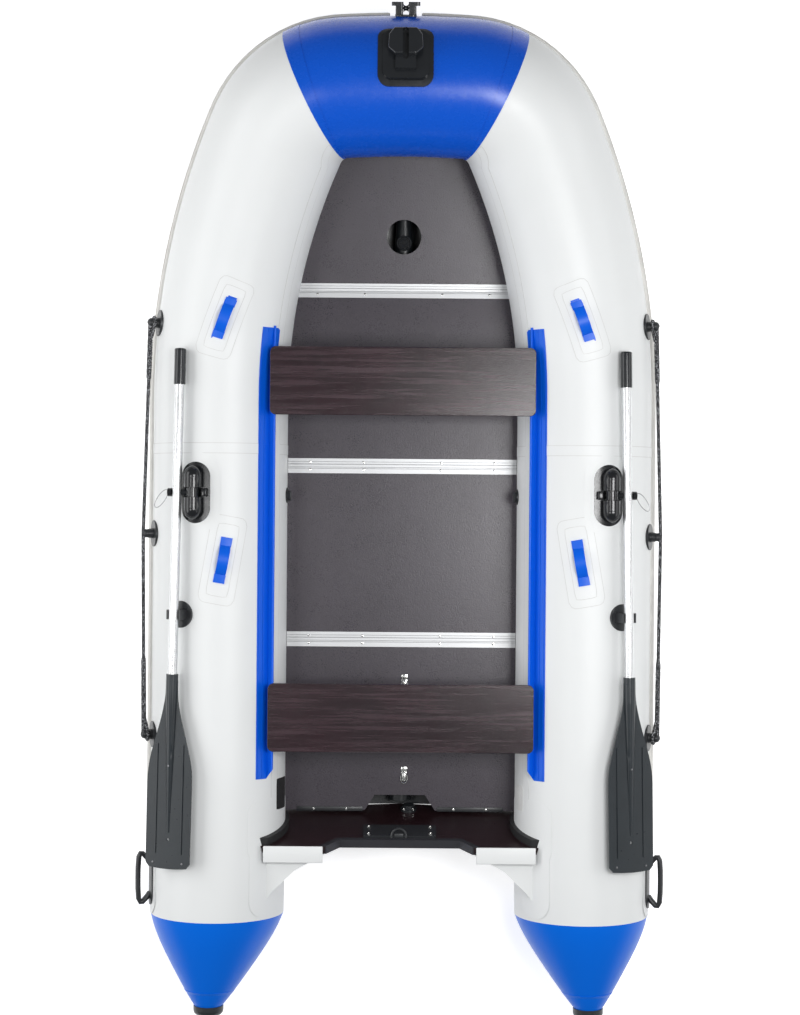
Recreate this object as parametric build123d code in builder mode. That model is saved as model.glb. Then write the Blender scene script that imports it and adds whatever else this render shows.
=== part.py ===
"""Inflatable boat of 3.2 m with slatted plywood floor, two sliding benches, a pair of oars and a raked motor transom.

Units are millimetres. +Y points to the bow, +X to starboard and +Z up. The origin lies under the middle of the
boat's length, on the ground that the two side tubes rest on.
Port pieces mirror the starboard ones, so each pair is drawn once, on the +X side.
"""

import os
from math import asin, atan2, ceil, cos, degrees, hypot, pi, radians, sin, sqrt, tan

from build123d import *

os.makedirs("parts", exist_ok=True)

# Buoyancy tube
tube_radius = 214
tube_x = 582  # centre of the straight side tube
bow_y = 1334  # centre of the tube at the stem
bow_rise = 235  # how far the tube centre climbs from the side to the stem
bow_arc_radius = 3540
bow_arc_angle = radians(3.14)
corner_radius = 240
corner_angle = radians(64.5)
bow_seam_angle = radians(24.5)  # heading at the seam of the coloured bow panel
chamber_seam_y = 213
stern_seam_y = -1265
stern_seam_radius = 212
cone_end_y = -1556
cone_end_radius = 45
cone_tip_y = -1587
cone_lift = 45  # how far the cone's end sits above the tube's centre
cone_outset = 22

# Floor
board_thickness = 12
floor_z = 105  # top of the boards
floor_half_width = 393
bow_board_tilt = radians(8.5)
bow_board_reach = 60  # how much further the bow board runs under the stem
joiner_y = (738, 166, -398)
joiner_half_width = 24
floor_aft_y = -954
keel_aft_y = -925

# Transom
transom_thickness = 22
transom_rake = radians(13.5)
transom_floor_y = -966  # forward face at floor level
transom_shoulder_z = 375
transom_notch_z = 323
notch_half_bottom = 190
notch_half_top = 233

# Benches and their rails
bench_length = 830
bench_depth = 213
bench_thickness = 15
bench_z = 385  # underside
bench_y = (426, -626)
rail_bead_x = 402
rail_bead_z = 370
rail_bead_radius = 4
rail_front_y = 598
flap_front_y = 632
rail_aft_y = -822

# Oars
oarlock_y = 74
oarlock_x = 649
oar_yaw = 1.0  # degrees, blade outwards
shaft_radius = 15
oar_x = 699
oar_z = 433

board_underside = floor_z - board_thickness
pad_thickness = 3
press_depth = 12  # how far a glued base is drawn into a tube before the tube's shape is cut from it

bow_arc_length = bow_arc_radius * bow_arc_angle
corner_length = corner_radius * (corner_angle - bow_arc_angle)
bow_seam_s = bow_arc_length + corner_radius * (bow_seam_angle - bow_arc_angle)
side_arc_x = bow_arc_radius * sin(bow_arc_angle) + corner_radius * (sin(corner_angle) - sin(bow_arc_angle))
side_arc_radius = (tube_x - side_arc_x) / (1 - sin(corner_angle))
side_arc_length = side_arc_radius * (pi / 2 - corner_angle)
corner_top_y = bow_y - bow_arc_radius * (1 - cos(bow_arc_angle))
side_arc_y = corner_top_y - corner_radius * (cos(bow_arc_angle) - cos(corner_angle))
straight_y = side_arc_y - side_arc_radius * cos(corner_angle)
straight_s = bow_arc_length + corner_length + side_arc_length


def heading_of(s):
    """Turn of the tube's centre line from straight across at the stem, s millimetres along it."""
    if s < bow_arc_length:
        return s / bow_arc_radius
    if s < bow_arc_length + corner_length:
        return bow_arc_angle + (s - bow_arc_length) / corner_radius
    if s < straight_s:
        return corner_angle + (s - bow_arc_length - corner_length) / side_arc_radius
    return pi / 2


def centre_of(s):
    """Centre of the starboard tube, s millimetres along its centre line from the stem."""
    heading = heading_of(s)
    if s < bow_arc_length:
        x = bow_arc_radius * sin(heading)
        y = bow_y - bow_arc_radius * (1 - cos(heading))
    elif s < bow_arc_length + corner_length:
        x = bow_arc_radius * sin(bow_arc_angle) + corner_radius * (sin(heading) - sin(bow_arc_angle))
        y = corner_top_y - corner_radius * (cos(bow_arc_angle) - cos(heading))
    elif s < straight_s:
        x = tube_x - side_arc_radius * (1 - sin(heading))
        y = straight_y + side_arc_radius * cos(heading)
    else:
        x = tube_x
        y = straight_y - (s - straight_s)
    return Vector(x, y, tube_radius + rise_at(y))


def rise_at(y):
    """Height that the tube's centre has gained at y."""
    share = max(0.0, (y - straight_y) / (bow_y - straight_y))
    return bow_rise * share**2


def s_at(y):
    """Length along the centre line at which the side of the tube reaches y."""
    if y <= straight_y:
        return straight_s + straight_y - y
    return straight_s - side_arc_radius * asin((y - straight_y) / side_arc_radius)


def tangent_of(s):
    """Direction of the centre line towards the stern."""
    heading = heading_of(s)
    share = max(0.0, (centre_of(s).Y - straight_y) / (bow_y - straight_y))
    slope = 2 * bow_rise * share / (bow_y - straight_y)
    return Vector(cos(heading), -sin(heading), -sin(heading) * slope).normalized()


def ring_plane(s):
    """Plane across the tube: its x points outboard and its y up."""
    heading = heading_of(s)
    return Plane(centre_of(s), x_dir=Vector(sin(heading), cos(heading), 0), z_dir=tangent_of(s))


def surface_plane(s, angle, lift=0, turn=0):
    """Plane on the tube's surface: x points forwards along it and z outwards. angle is in degrees up from outboard."""
    ring = ring_plane(s)
    outward = ring.x_dir * cos(radians(angle)) + ring.y_dir * sin(radians(angle))
    plane = Plane(ring.origin + outward * (tube_radius + lift), x_dir=tangent_of(s) * -1, z_dir=outward)
    return plane.rotated((0, 0, turn))


def stations(s_from, s_to, step):
    """Evenly spaced lengths from s_from to s_to, no further apart than step."""
    count = max(1, ceil(abs(s_to - s_from) / step))
    return [s_from + (s_to - s_from) * i / count for i in range(count + 1)]


def sleeve(s_from, s_to, radius, step=120):
    """Round tube of one radius along the centre line."""
    with BuildPart() as span:
        for s in stations(s_from, s_to, step):
            with BuildSketch(ring_plane(s)):
                Circle(radius)
        loft()
    return span.part


def mirrored(part):
    """The port twin of a starboard piece."""
    return mirror(part, about=Plane.YZ)


def write(part, name):
    """Labels a finished piece and writes it to its own file."""
    part.label = name
    export_step(part, f"parts/{name}.step")


def write_pair(part, name):
    """Writes a starboard piece and its port twin."""
    write(mirrored(part), f"{name}_port")
    write(part, f"{name}_starboard")


def both_sides(part):
    """A starboard piece and its twin as the two solids of one node."""
    return Compound(children=[part, mirrored(part)])


# Side tubes: the forward panel bends round to the bow seam, the aft one is straight
chamber_seam_s = s_at(chamber_seam_y)
corner_end_s = bow_arc_length + corner_length
with BuildPart() as fore_tube:
    add(sleeve(bow_seam_s, corner_end_s, tube_radius, step=42))
    add(sleeve(corner_end_s, straight_s, tube_radius, step=160))
    add(sleeve(straight_s, chamber_seam_s, tube_radius, step=400))
write_pair(fore_tube.part, "tube_fore")

with BuildPart() as aft_tube:
    with BuildSketch(Plane.XY.offset(tube_radius)):
        with BuildLine():
            Polyline(
                (tube_x, stern_seam_y),
                (tube_x, chamber_seam_y),
                (tube_x + tube_radius, chamber_seam_y),
                (tube_x + tube_radius, stern_seam_y + 150),
            )
            TangentArc(
                (tube_x + tube_radius, stern_seam_y + 150),
                (tube_x + stern_seam_radius, stern_seam_y),
                tangent=(0, -1),
            )
            Line((tube_x + stern_seam_radius, stern_seam_y), (tube_x, stern_seam_y))
        make_face()
    revolve(axis=Axis((tube_x, 0, tube_radius), (0, 1, 0)))
write_pair(aft_tube.part, "tube_aft")

# Coloured panel across the bow, from seam to seam
def bow_tube(radius, half_length):
    """Tube of one radius over the stem, half_length to either side."""
    half = stations(0, min(half_length, bow_arc_length), 110)
    half += stations(bow_arc_length, half_length, 42)[1:] if half_length > bow_arc_length else []
    with BuildPart() as span:
        for s in reversed(half[1:]):
            ring = ring_plane(s)
            port_ring = Plane(
                (-ring.origin.X, ring.origin.Y, ring.origin.Z),
                x_dir=Vector(-ring.x_dir.X, ring.x_dir.Y, 0),
                z_dir=Vector(ring.z_dir.X, -ring.z_dir.Y, -ring.z_dir.Z),
            )
            with BuildSketch(port_ring):
                Circle(radius)
        for s in half:
            with BuildSketch(ring_plane(s)):
                Circle(radius)
        loft()
    return span.part


bow_panel = bow_tube(tube_radius, bow_seam_s)
write(bow_panel, "bow_panel")

# Stern cones, tapering to black plugs
with BuildPart() as stern_cone:
    for share in (0, 0.12, 0.4, 0.7, 1):
        y = stern_seam_y + share * (cone_end_y - stern_seam_y)
        radius = stern_seam_radius - (stern_seam_radius - cone_end_radius) * share**1.27
        middle = (tube_x + cone_outset * share, y, tube_radius + cone_lift * share**1.5)
        with BuildSketch(Plane(middle, x_dir=(1, 0, 0), z_dir=(0, -1, 0))):
            Circle(radius)
    loft()
write_pair(stern_cone.part, "stern_cone")

with BuildPart() as cone_tip:
    tip_plane = Plane((tube_x + cone_outset, cone_end_y, tube_radius + cone_lift), x_dir=(1, 0, 0), z_dir=(0, -1, 0))
    with BuildSketch(tip_plane):
        Circle(cone_end_radius + 3)
    extrude(amount=cone_end_y - cone_tip_y)
    fillet(cone_tip.faces().sort_by(Axis.Y)[0].edges(), radius=18)
write(both_sides(cone_tip.part), "cone_tips")


def side_shape(radius):
    """Straight part of the starboard tube with another radius."""
    with BuildPart() as shape:
        with BuildSketch(Plane((tube_x, straight_y, tube_radius), x_dir=(1, 0, 0), z_dir=(0, -1, 0))):
            Circle(radius)
        extrude(amount=straight_y - stern_seam_y)
    return shape.part


side_core = side_shape(tube_radius)

# Shaped fabric bottom: a shallow V that climbs to the underside of the bow
skin_thickness = 3
skin_stations = (-945, 300, 560, 760, 900, 1000, 1080, 1140, 1180, 1210, 1240, 1268, 1300)


def skin_half_section(y):
    """Centre height, edge x and edge height of the bottom at y."""
    share = max(0.0, (y - 300) / 968)
    middle = 6 + 250 * share**10
    if y > side_arc_y:
        return middle, 375 - 0.6 * (y - side_arc_y), tube_radius + rise_at(y) - 200
    angle = radians(228 + 34 * min(1, share * 1.25))
    centre = centre_of(s_at(y))
    edge_x = centre.X + (tube_radius - press_depth) * cos(angle)
    edge_z = centre.Z + (tube_radius - press_depth) * sin(angle)
    return middle, edge_x, edge_z


with BuildPart() as bottom_skin:
    for y in skin_stations:
        middle, edge_x, edge_z = skin_half_section(y)
        with BuildSketch(Plane.XZ.offset(-y)):
            Polygon(
                (0, middle),
                (edge_x, edge_z),
                (edge_x, edge_z + skin_thickness),
                (0, middle + skin_thickness),
                (-edge_x, edge_z + skin_thickness),
                (-edge_x, edge_z),
                align=None,
            )
    loft(ruled=True)
    for shape in (fore_tube.part, aft_tube.part):
        add(shape, mode=Mode.SUBTRACT)
        add(mirrored(shape), mode=Mode.SUBTRACT)
    add(bow_panel, mode=Mode.SUBTRACT)
write(bottom_skin.part, "bottom_skin")

# Inflated keel under the boards
keel_radius = 38
keel_z = board_underside - 3.5 - keel_radius
with BuildPart() as keel_tube:
    with BuildSketch(Plane((0, keel_aft_y, keel_z), x_dir=(1, 0, 0), z_dir=(0, 1, 0))):
        Circle(keel_radius)
    extrude(amount=720 - keel_aft_y)
    with BuildSketch(Plane((0, 720, keel_z), x_dir=(1, 0, 0), z_dir=(0, 1, 0))):
        Circle(keel_radius)
    with BuildSketch(Plane((0, 1020, 86), x_dir=(1, 0, 0), z_dir=(0, 1, 0))):
        Circle(22)
    loft()
write(keel_tube.part, "keel_tube")

# Floor boards
web_half = 2
board_inset = tube_x - floor_half_width
valve_hole_y = 913
valve_hole_radius = 56


def board_edge(y_from, y_to, count):
    """Starboard edge of the floor between two heights of y."""
    points = []
    for i in range(count + 1):
        y = y_from + (y_to - y_from) * i / count
        points.append((centre_of(s_at(y)).X - board_inset, y))
    return points


def flat_board(y_from, y_to):
    """Board between two joiners, its sides following the tubes."""
    edge = board_edge(y_from, y_to, 6)
    port_edge = [(-x, y) for x, y in reversed(edge)]
    with BuildPart() as board:
        with BuildSketch(Plane.XY.offset(board_underside)):
            Polygon(*edge, *port_edge, align=None)
        extrude(amount=board_thickness)
    return board.part


write(flat_board(joiner_y[1] + web_half, joiner_y[0] - web_half), "floor_board_2")
write(flat_board(joiner_y[2] + web_half, joiner_y[1] - web_half), "floor_board_3")

with BuildPart() as aft_board:
    add(flat_board(floor_aft_y, joiner_y[2] - web_half))
    with BuildSketch(Plane.XY.offset(board_underside)):
        Polygon(
            (-114, floor_aft_y),
            (-82, floor_aft_y + 50),
            (82, floor_aft_y + 50),
            (114, floor_aft_y),
            align=None,
        )
    extrude(amount=board_thickness, mode=Mode.SUBTRACT)
write(aft_board.part, "floor_board_4")

bow_board_y = joiner_y[0]
bow_board_plane = Plane((0, bow_board_y, board_underside), x_dir=(1, 0, 0), z_dir=(0, -sin(bow_board_tilt), cos(bow_board_tilt)))
with BuildPart() as bow_board:
    edge = board_edge(bow_board_y + 3.5, side_arc_y - 92, 6)
    for s in stations(corner_end_s, 0, 60):
        ring = ring_plane(s)
        point = ring.origin - ring.x_dir * (board_inset - bow_board_reach * cos(heading_of(s)) ** 2)
        edge.append((max(point.X, 0), point.Y))
    edge = [(x, (y - bow_board_y) / cos(bow_board_tilt)) for x, y in edge if x > 0]
    port_edge = [(-x, y) for x, y in reversed(edge)]
    with BuildSketch(bow_board_plane):
        Polygon(*edge, *port_edge, align=None)
        with Locations((0, valve_hole_y - bow_board_y)):
            Circle(valve_hole_radius, mode=Mode.SUBTRACT)
    extrude(amount=board_thickness)
    add(bottom_skin.part, mode=Mode.SUBTRACT)
write(bow_board.part.solids().sort_by(SortBy.VOLUME)[-1], "floor_board_1")

# Joiners: H-section strips that clasp the boards' ends
joiner_wall = 2.5
joiner_half_length = 372


def joiner(y, half_length, tilt=0):
    """H-section across the boat; tilt turns its forward half."""
    top = board_thickness + joiner_wall / 2 + 0.1
    bottom = -joiner_wall / 2 - 0.1
    with BuildPart() as strip:
        with BuildSketch(Plane((-half_length, y, board_underside), x_dir=(0, 1, 0), z_dir=(1, 0, 0))):
            with Locations((-joiner_half_width / 2, top), (-joiner_half_width / 2, bottom)):
                Rectangle(joiner_half_width, joiner_wall)
            with Locations((0, board_thickness / 2)):
                Rectangle(2 * web_half - 1, board_thickness + joiner_wall)
            with Locations(Rot(0, 0, degrees(tilt))):
                with Locations((joiner_half_width / 2, top), (joiner_half_width / 2, bottom)):
                    Rectangle(joiner_half_width, joiner_wall)
        extrude(amount=2 * half_length)
    return strip.part


write(joiner(joiner_y[0], 346, bow_board_tilt), "floor_joiner_front")
write(joiner(joiner_y[1], joiner_half_length), "floor_joiner_middle")
write(joiner(joiner_y[2], joiner_half_length), "floor_joiner_rear")

# Stringers along the boards' outer edges
with BuildPart() as stringer:
    with BuildSketch(Plane.XZ.offset(900)):
        Polygon(
            (376, floor_z + 0.2),
            (floor_half_width + 0.3, floor_z + 0.2),
            (floor_half_width + 0.3, board_underside - 0.2),
            (376, board_underside - 0.2),
            (376, board_underside - 2.2),
            (floor_half_width + 2.3, board_underside - 2.2),
            (floor_half_width + 2.3, floor_z + 2.2),
            (376, floor_z + 2.2),
            align=None,
        )
    extrude(amount=-1240)
    add(side_core, mode=Mode.SUBTRACT)
write(both_sides(stringer.part), "side_stringers")

# Transom, raked aft, its sides held in black profiles on the tubes
holder_base = 4
rake_cos = cos(transom_rake)
transom_plane = Plane(
    (0, transom_floor_y, floor_z),
    x_dir=(1, 0, 0),
    z_dir=(0, -rake_cos, -sin(transom_rake)),
)


def up_board(z):
    """Distance from the floor line up the raked board."""
    return (z - floor_z) / rake_cos


shoulder_v = up_board(transom_shoulder_z)
notch_v = up_board(transom_notch_z)
drain_x = 29
drain_z = 72
drain_radius = 14
notch_slope = (notch_half_top - notch_half_bottom) / (shoulder_v - notch_v)
notch_side = hypot(1, notch_slope)


def notch_outline(lift, top_v):
    """Motor notch, moved into the wood by lift."""
    bottom_v = notch_v - lift
    bottom_half = notch_half_bottom + notch_slope * (bottom_v - notch_v) + lift * notch_side
    top_half = notch_half_bottom + notch_slope * (top_v - notch_v) + lift * notch_side
    return [(-top_half, top_v), (-bottom_half, bottom_v), (bottom_half, bottom_v), (top_half, top_v)]


with BuildPart() as transom:
    with BuildSketch(transom_plane):
        Polygon(
            (-470, shoulder_v),
            (-470, up_board(64)),
            (0, up_board(14)),
            (470, up_board(64)),
            (470, shoulder_v),
            align=None,
        )
        Polygon(*notch_outline(0, shoulder_v), align=None, mode=Mode.SUBTRACT)
        with Locations((drain_x, up_board(drain_z))):
            Circle(drain_radius, mode=Mode.SUBTRACT)
    extrude(amount=transom_thickness)
    long_edges = transom.edges().filter_by(Axis((0, 0, 0), transom_plane.z_dir))
    notch_corners = long_edges.filter_by_position(Axis.X, -notch_half_bottom - 3, notch_half_bottom + 3)
    fillet(notch_corners.filter_by_position(Axis.Z, transom_notch_z - 20, transom_notch_z + 20), radius=16)
    holder_bore = side_shape(tube_radius + holder_base)
    add(holder_bore, mode=Mode.SUBTRACT)
    add(mirrored(holder_bore), mode=Mode.SUBTRACT)
    add(bottom_skin.part, mode=Mode.SUBTRACT)
write(transom.part, "transom")

# Dark cap over the notch's edge
with BuildPart() as transom_cap:
    with BuildSketch(transom_plane.offset(-2.5)):
        Polygon(*notch_outline(14, shoulder_v), align=None)
        Polygon(*notch_outline(-3, shoulder_v), align=None, mode=Mode.SUBTRACT)
    extrude(amount=transom_thickness + 5)
    add(transom.part, mode=Mode.SUBTRACT)
write(transom_cap.part, "transom_edge_cap")


def clamp_plate(half_width, top_z, bottom_z, plane):
    """Pad that a motor's clamp bears on."""
    with BuildPart() as plate:
        with BuildSketch(plane):
            with Locations((0, (up_board(top_z) + up_board(bottom_z)) / 2)):
                RectangleRounded(2 * half_width, abs(up_board(top_z) - up_board(bottom_z)), 10)
        extrude(amount=8)
    chamfer(plate.faces().sort_by(Axis((0, 0, 0), plane.z_dir))[-1].edges(), length=2)
    return plate.part


inner_plane = Plane(transom_plane.origin, x_dir=(1, 0, 0), z_dir=transom_plane.z_dir)
fore_face = Plane(transom_plane.origin, x_dir=(-1, 0, 0), z_dir=transom_plane.z_dir * -1)
aft_face = transom_plane.offset(transom_thickness)
write(clamp_plate(116, 305, 215, fore_face), "clamp_plate_inner")
write(clamp_plate(108, 305, 165, aft_face), "clamp_plate_outer")

# Black profiles that hold the transom's sides against the tubes
with BuildPart() as transom_holder:
    with BuildSketch(transom_plane.offset(-24)):
        with Locations((tube_x, up_board(tube_radius))):
            Ellipse(tube_radius + 14, (tube_radius + 14) / rake_cos)
        with Locations((tube_x + 150, up_board(tube_radius))):
            Rectangle(2 * 150, 600, mode=Mode.SUBTRACT)
        with Locations((tube_x, up_board(70) - 100)):
            Rectangle(500, 200, mode=Mode.SUBTRACT)
        with Locations((tube_x, up_board(368) + 100)):
            Rectangle(500, 200, mode=Mode.SUBTRACT)
    extrude(amount=transom_thickness + 48)
    add(side_core, mode=Mode.SUBTRACT)
    add(transom.part, mode=Mode.SUBTRACT)
    add(bottom_skin.part, mode=Mode.SUBTRACT)
    with BuildSketch(Plane.XY.offset(board_underside - 4)):
        with Locations((400, -890)):
            Rectangle(300, 140)
    extrude(amount=board_thickness + 8, mode=Mode.SUBTRACT)
write(both_sides(transom_holder.part.solids().sort_by(SortBy.VOLUME)[-1]), "transom_holders")

# Fabric gussets behind the transom's shoulders
gusset_z = 350
with BuildPart() as gusset:
    with BuildSketch(Plane.XY.offset(gusset_z)):
        Polygon((236, -1020), (236, -1058), (330, -1112), (400, -1178), (440, -1230), (470, -1230), (470, -1020), align=None)
    extrude(amount=3)
    add(side_core, mode=Mode.SUBTRACT)
    with BuildSketch(transom_plane.offset(-100)):
        Rectangle(1200, 900)
    extrude(amount=100 + transom_thickness, mode=Mode.SUBTRACT)
    add(transom_holder.part, mode=Mode.SUBTRACT)
    add(transom_cap.part, mode=Mode.SUBTRACT)
write(both_sides(gusset.part.solids().sort_by(SortBy.VOLUME)[-1]), "transom_gussets")

# Bead rails on the tubes that the benches slide on
rail_angle = atan2(rail_bead_z - tube_radius, rail_bead_x - tube_x)
rail_reach = hypot(rail_bead_x - tube_x, rail_bead_z - tube_radius)
flap_angle = 137.3  # degrees up from outboard to the middle of the welded flap
flap_half_angle = 9.6
flap_thickness = 2.2


def flap_section():
    """Section of the flap that carries the bead, as the tube's ring plane sees it."""
    with BuildSketch(Plane.XY, mode=Mode.PRIVATE) as section:
        with BuildLine():
            outer = tube_radius + flap_thickness
            inner = tube_radius - press_depth
            angles = [radians(flap_angle + flap_half_angle * share) for share in (-1, 0, 1)]
            top = [(outer * cos(angle), outer * sin(angle)) for angle in angles]
            low = [(inner * cos(angle), inner * sin(angle)) for angle in (angles[2], angles[0])]
            ThreePointArc(*top)
            Polyline(top[2], low[0], low[1], top[0])
        make_face()
    return section.sketch


with BuildPart() as seat_rail:
    with BuildSketch(Plane.XZ.offset(-rail_aft_y)):
        with Locations(Pos(tube_x, tube_radius) * Rot(0, 0, degrees(rail_angle))):
            with Locations((rail_reach / 2 + 90, 0)):
                Rectangle(rail_reach - 180, 3)
            with Locations((rail_reach, 0)):
                Circle(rail_bead_radius)
    extrude(amount=rail_aft_y - rail_front_y)
    for s in stations(s_at(flap_front_y), straight_s, 130):
        with BuildSketch(ring_plane(s)):
            add(flap_section())
    loft(ruled=True)
    with BuildSketch(ring_plane(straight_s)):
        add(flap_section())
    extrude(amount=straight_y - rail_aft_y)
    add(fore_tube.part, mode=Mode.SUBTRACT)
    add(side_core, mode=Mode.SUBTRACT)
    for end, inward in ((rail_aft_y, 1), (flap_front_y, -1)):
        with BuildSketch(Plane.XY.offset(300)):
            Polygon((421, end - inward), (380, end - inward), (380, end + inward * 57), align=None)
        extrude(amount=160, mode=Mode.SUBTRACT)
write_pair(seat_rail.part.solids().sort_by(SortBy.VOLUME)[-1], "seat_rail")

# Benches and the channels that hook over the rails
channel_length = 150
channel_reach = 10.5
channel_gap = 5.8
for name, y in (("front", bench_y[0]), ("rear", bench_y[1])):
    with BuildPart() as bench:
        with BuildSketch(Plane.XY.offset(bench_z)):
            with Locations((0, y)):
                RectangleRounded(bench_length, bench_depth, 18)
        extrude(amount=bench_thickness)
        chamfer(bench.faces().sort_by(Axis.Z)[-1].edges(), length=1.5)
    write(bench.part, f"bench_{name}")

    with BuildPart() as channel:
        with BuildSketch(Plane.XZ.offset(-y - channel_length / 2)):
            with Locations((rail_bead_x, rail_bead_z)):
                Circle(channel_reach)
            with Locations((rail_bead_x, (rail_bead_z + bench_z) / 2)):
                Rectangle(2 * channel_reach, bench_z - rail_bead_z)
            with Locations((rail_bead_x, rail_bead_z)):
                Circle(channel_gap, mode=Mode.SUBTRACT)
            with Locations(Pos(rail_bead_x, rail_bead_z) * Rot(0, 0, degrees(rail_angle))):
                with Locations((-15, 0)):
                    Rectangle(30, 7, mode=Mode.SUBTRACT)
        extrude(amount=channel_length)
    write(both_sides(channel.part), f"bench_channels_{name}")

# Oarlocks
lock_angle = 16.4  # degrees that the pads lean outboard
lock_normal = Vector(sin(radians(lock_angle)), 0, cos(radians(lock_angle)))
barrel_radius = 27
barrel_lift = 27
barrel_gap = 15.5  # from the middle to either half-barrel
barrel_centre = Vector(tube_x, oarlock_y, tube_radius) + lock_normal * (tube_radius + barrel_lift)
ring_width = 27
ring_radius = 19
axle_radius = 7.5
lock_plane = Plane(barrel_centre - lock_normal * barrel_lift, x_dir=(0, 1, 0), z_dir=lock_normal)
with BuildPart() as lock_base:
    for side in (1, -1):
        with BuildSketch(Plane(barrel_centre, x_dir=(0, side, 0), z_dir=(side, 0, 0))):
            with BuildLine():
                Polyline((0, 0), (0, barrel_radius), (48, barrel_radius))
                ThreePointArc((48, barrel_radius), (75, barrel_radius * 0.66), (84, 0))
                Line((84, 0), (0, 0))
            make_face()
        revolve(axis=Axis(barrel_centre, (0, 1, 0)))
    with BuildSketch(Plane(barrel_centre - lock_normal * barrel_radius, x_dir=(0, 1, 0), z_dir=lock_normal)):
        RectangleRounded(156, 2 * barrel_radius - 14, 18)
    extrude(amount=barrel_radius)
    with BuildSketch(Plane(barrel_centre - Vector(0, barrel_gap, 0), x_dir=(1, 0, 0), z_dir=(0, 1, 0))):
        Circle(60)
        Circle(axle_radius, mode=Mode.SUBTRACT)
    extrude(amount=2 * barrel_gap, mode=Mode.SUBTRACT)
with BuildPart() as lock_pad:
    with BuildSketch(lock_plane.offset(-40)):
        SlotOverall(191, 94)
    extrude(amount=60)
    add(side_shape(tube_radius + pad_thickness), mode=Mode.INTERSECT)
    add(lock_base.part)
    add(side_core, mode=Mode.SUBTRACT)
write_pair(lock_pad.part, "oarlock_base")

oar_centre = Vector(oar_x, oarlock_y, oar_z)
pin_direction = (oar_centre - barrel_centre).normalized()
pin_offset = (oar_centre - barrel_centre).length
pin_radius = 6
pin_plane = Plane(barrel_centre, x_dir=(0, 1, 0), z_dir=pin_direction)
with BuildPart() as lock_swivel:
    with BuildSketch(Plane(barrel_centre - Vector(0, ring_width / 2, 0), x_dir=(1, 0, 0), z_dir=(0, 1, 0))):
        Circle(ring_radius)
    extrude(amount=ring_width)
    with BuildSketch(pin_plane):
        Circle(pin_radius)
    extrude(amount=pin_offset + shaft_radius + 8)
    with BuildSketch(pin_plane):
        Circle(10)
    extrude(amount=pin_offset - shaft_radius - 1)
    with BuildSketch(pin_plane.offset(pin_offset + shaft_radius + 1)):
        Circle(13)
    extrude(amount=12)
    with BuildSketch(Plane(barrel_centre - Vector(0, 20, 0), x_dir=(1, 0, 0), z_dir=(0, 1, 0))):
        Circle(axle_radius + 1)
    extrude(amount=40, mode=Mode.SUBTRACT)
write_pair(lock_swivel.part, "oarlock_swivel")

# Oars, parked along the tubes with the blades aft
blade_roll = radians(20)
yaw = radians(oar_yaw)
oar_axis = Vector(-sin(yaw), cos(yaw), 0)
blade_across = Vector(cos(yaw) * cos(blade_roll), sin(yaw) * cos(blade_roll), -sin(blade_roll))
grip_from = 335
grip_length = 112
blade_from = 582
blade_length = 583


def oar_plane(along):
    """Plane across the oar, its x over the blade's width."""
    return Plane(oar_centre + oar_axis * along, x_dir=blade_across, z_dir=oar_axis)


with BuildPart() as oar_shaft:
    with BuildSketch(oar_plane(-blade_from - 60)):
        Circle(shaft_radius)
    extrude(amount=grip_from + 50 + blade_from + 60)
    with BuildSketch(pin_plane):
        Circle(pin_radius + 0.3)
    extrude(amount=120, mode=Mode.SUBTRACT)
write_pair(oar_shaft.part, "oar_shaft")

with BuildPart() as oar_grip:
    with BuildSketch(oar_plane(grip_from)):
        Circle(18)
    extrude(amount=grip_length)
    fillet(oar_grip.edges().sort_by(Axis.Y)[-1], radius=6)
    add(oar_shaft.part, mode=Mode.SUBTRACT)
write_pair(oar_grip.part, "oar_grip")

blade_plane = Plane(oar_centre - oar_axis * blade_from, x_dir=blade_across, z_dir=blade_across.cross(oar_axis * -1))
with BuildPart() as oar_blade:
    with BuildSketch(blade_plane.offset(-2.5)):
        with BuildLine():
            Spline((-20, 0), (-22, 60), (-42, 150), (-69, 250), (-76, 330), tangents=[(-0.01, 1), (-0.01, 1)])
            Polyline((-76, 330), (-75, blade_length - 14), (-63, blade_length))
            ThreePointArc((-63, blade_length), (0, blade_length + 4), (63, blade_length))
            Polyline((63, blade_length), (75, blade_length - 14), (76, 330))
            Spline((76, 330), (69, 250), (42, 150), (22, 60), (20, 0), tangents=[(0.01, -1), (0.01, -1)])
            Line((20, 0), (-20, 0))
        make_face()
        with Locations((0, blade_length - 88)):
            Circle(4, mode=Mode.SUBTRACT)
    extrude(amount=5)
    with BuildSketch(blade_plane.offset(-5.5)):
        for x in (-44, 44):
            with Locations((x, 370)):
                Rectangle(7, 340)
    extrude(amount=11)
    with BuildSketch(oar_plane(-blade_from + 18)):
        Circle(19)
    with BuildSketch(oar_plane(-blade_from - 62)):
        Circle(18.5)
    loft()
    with BuildSketch(oar_plane(-blade_from - 62)):
        Circle(18.5)
    with BuildSketch(oar_plane(-blade_from - blade_length + 110)):
        Circle(5)
    loft()
    add(oar_shaft.part, mode=Mode.SUBTRACT)
write_pair(oar_blade.part, "oar_blade")

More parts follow.
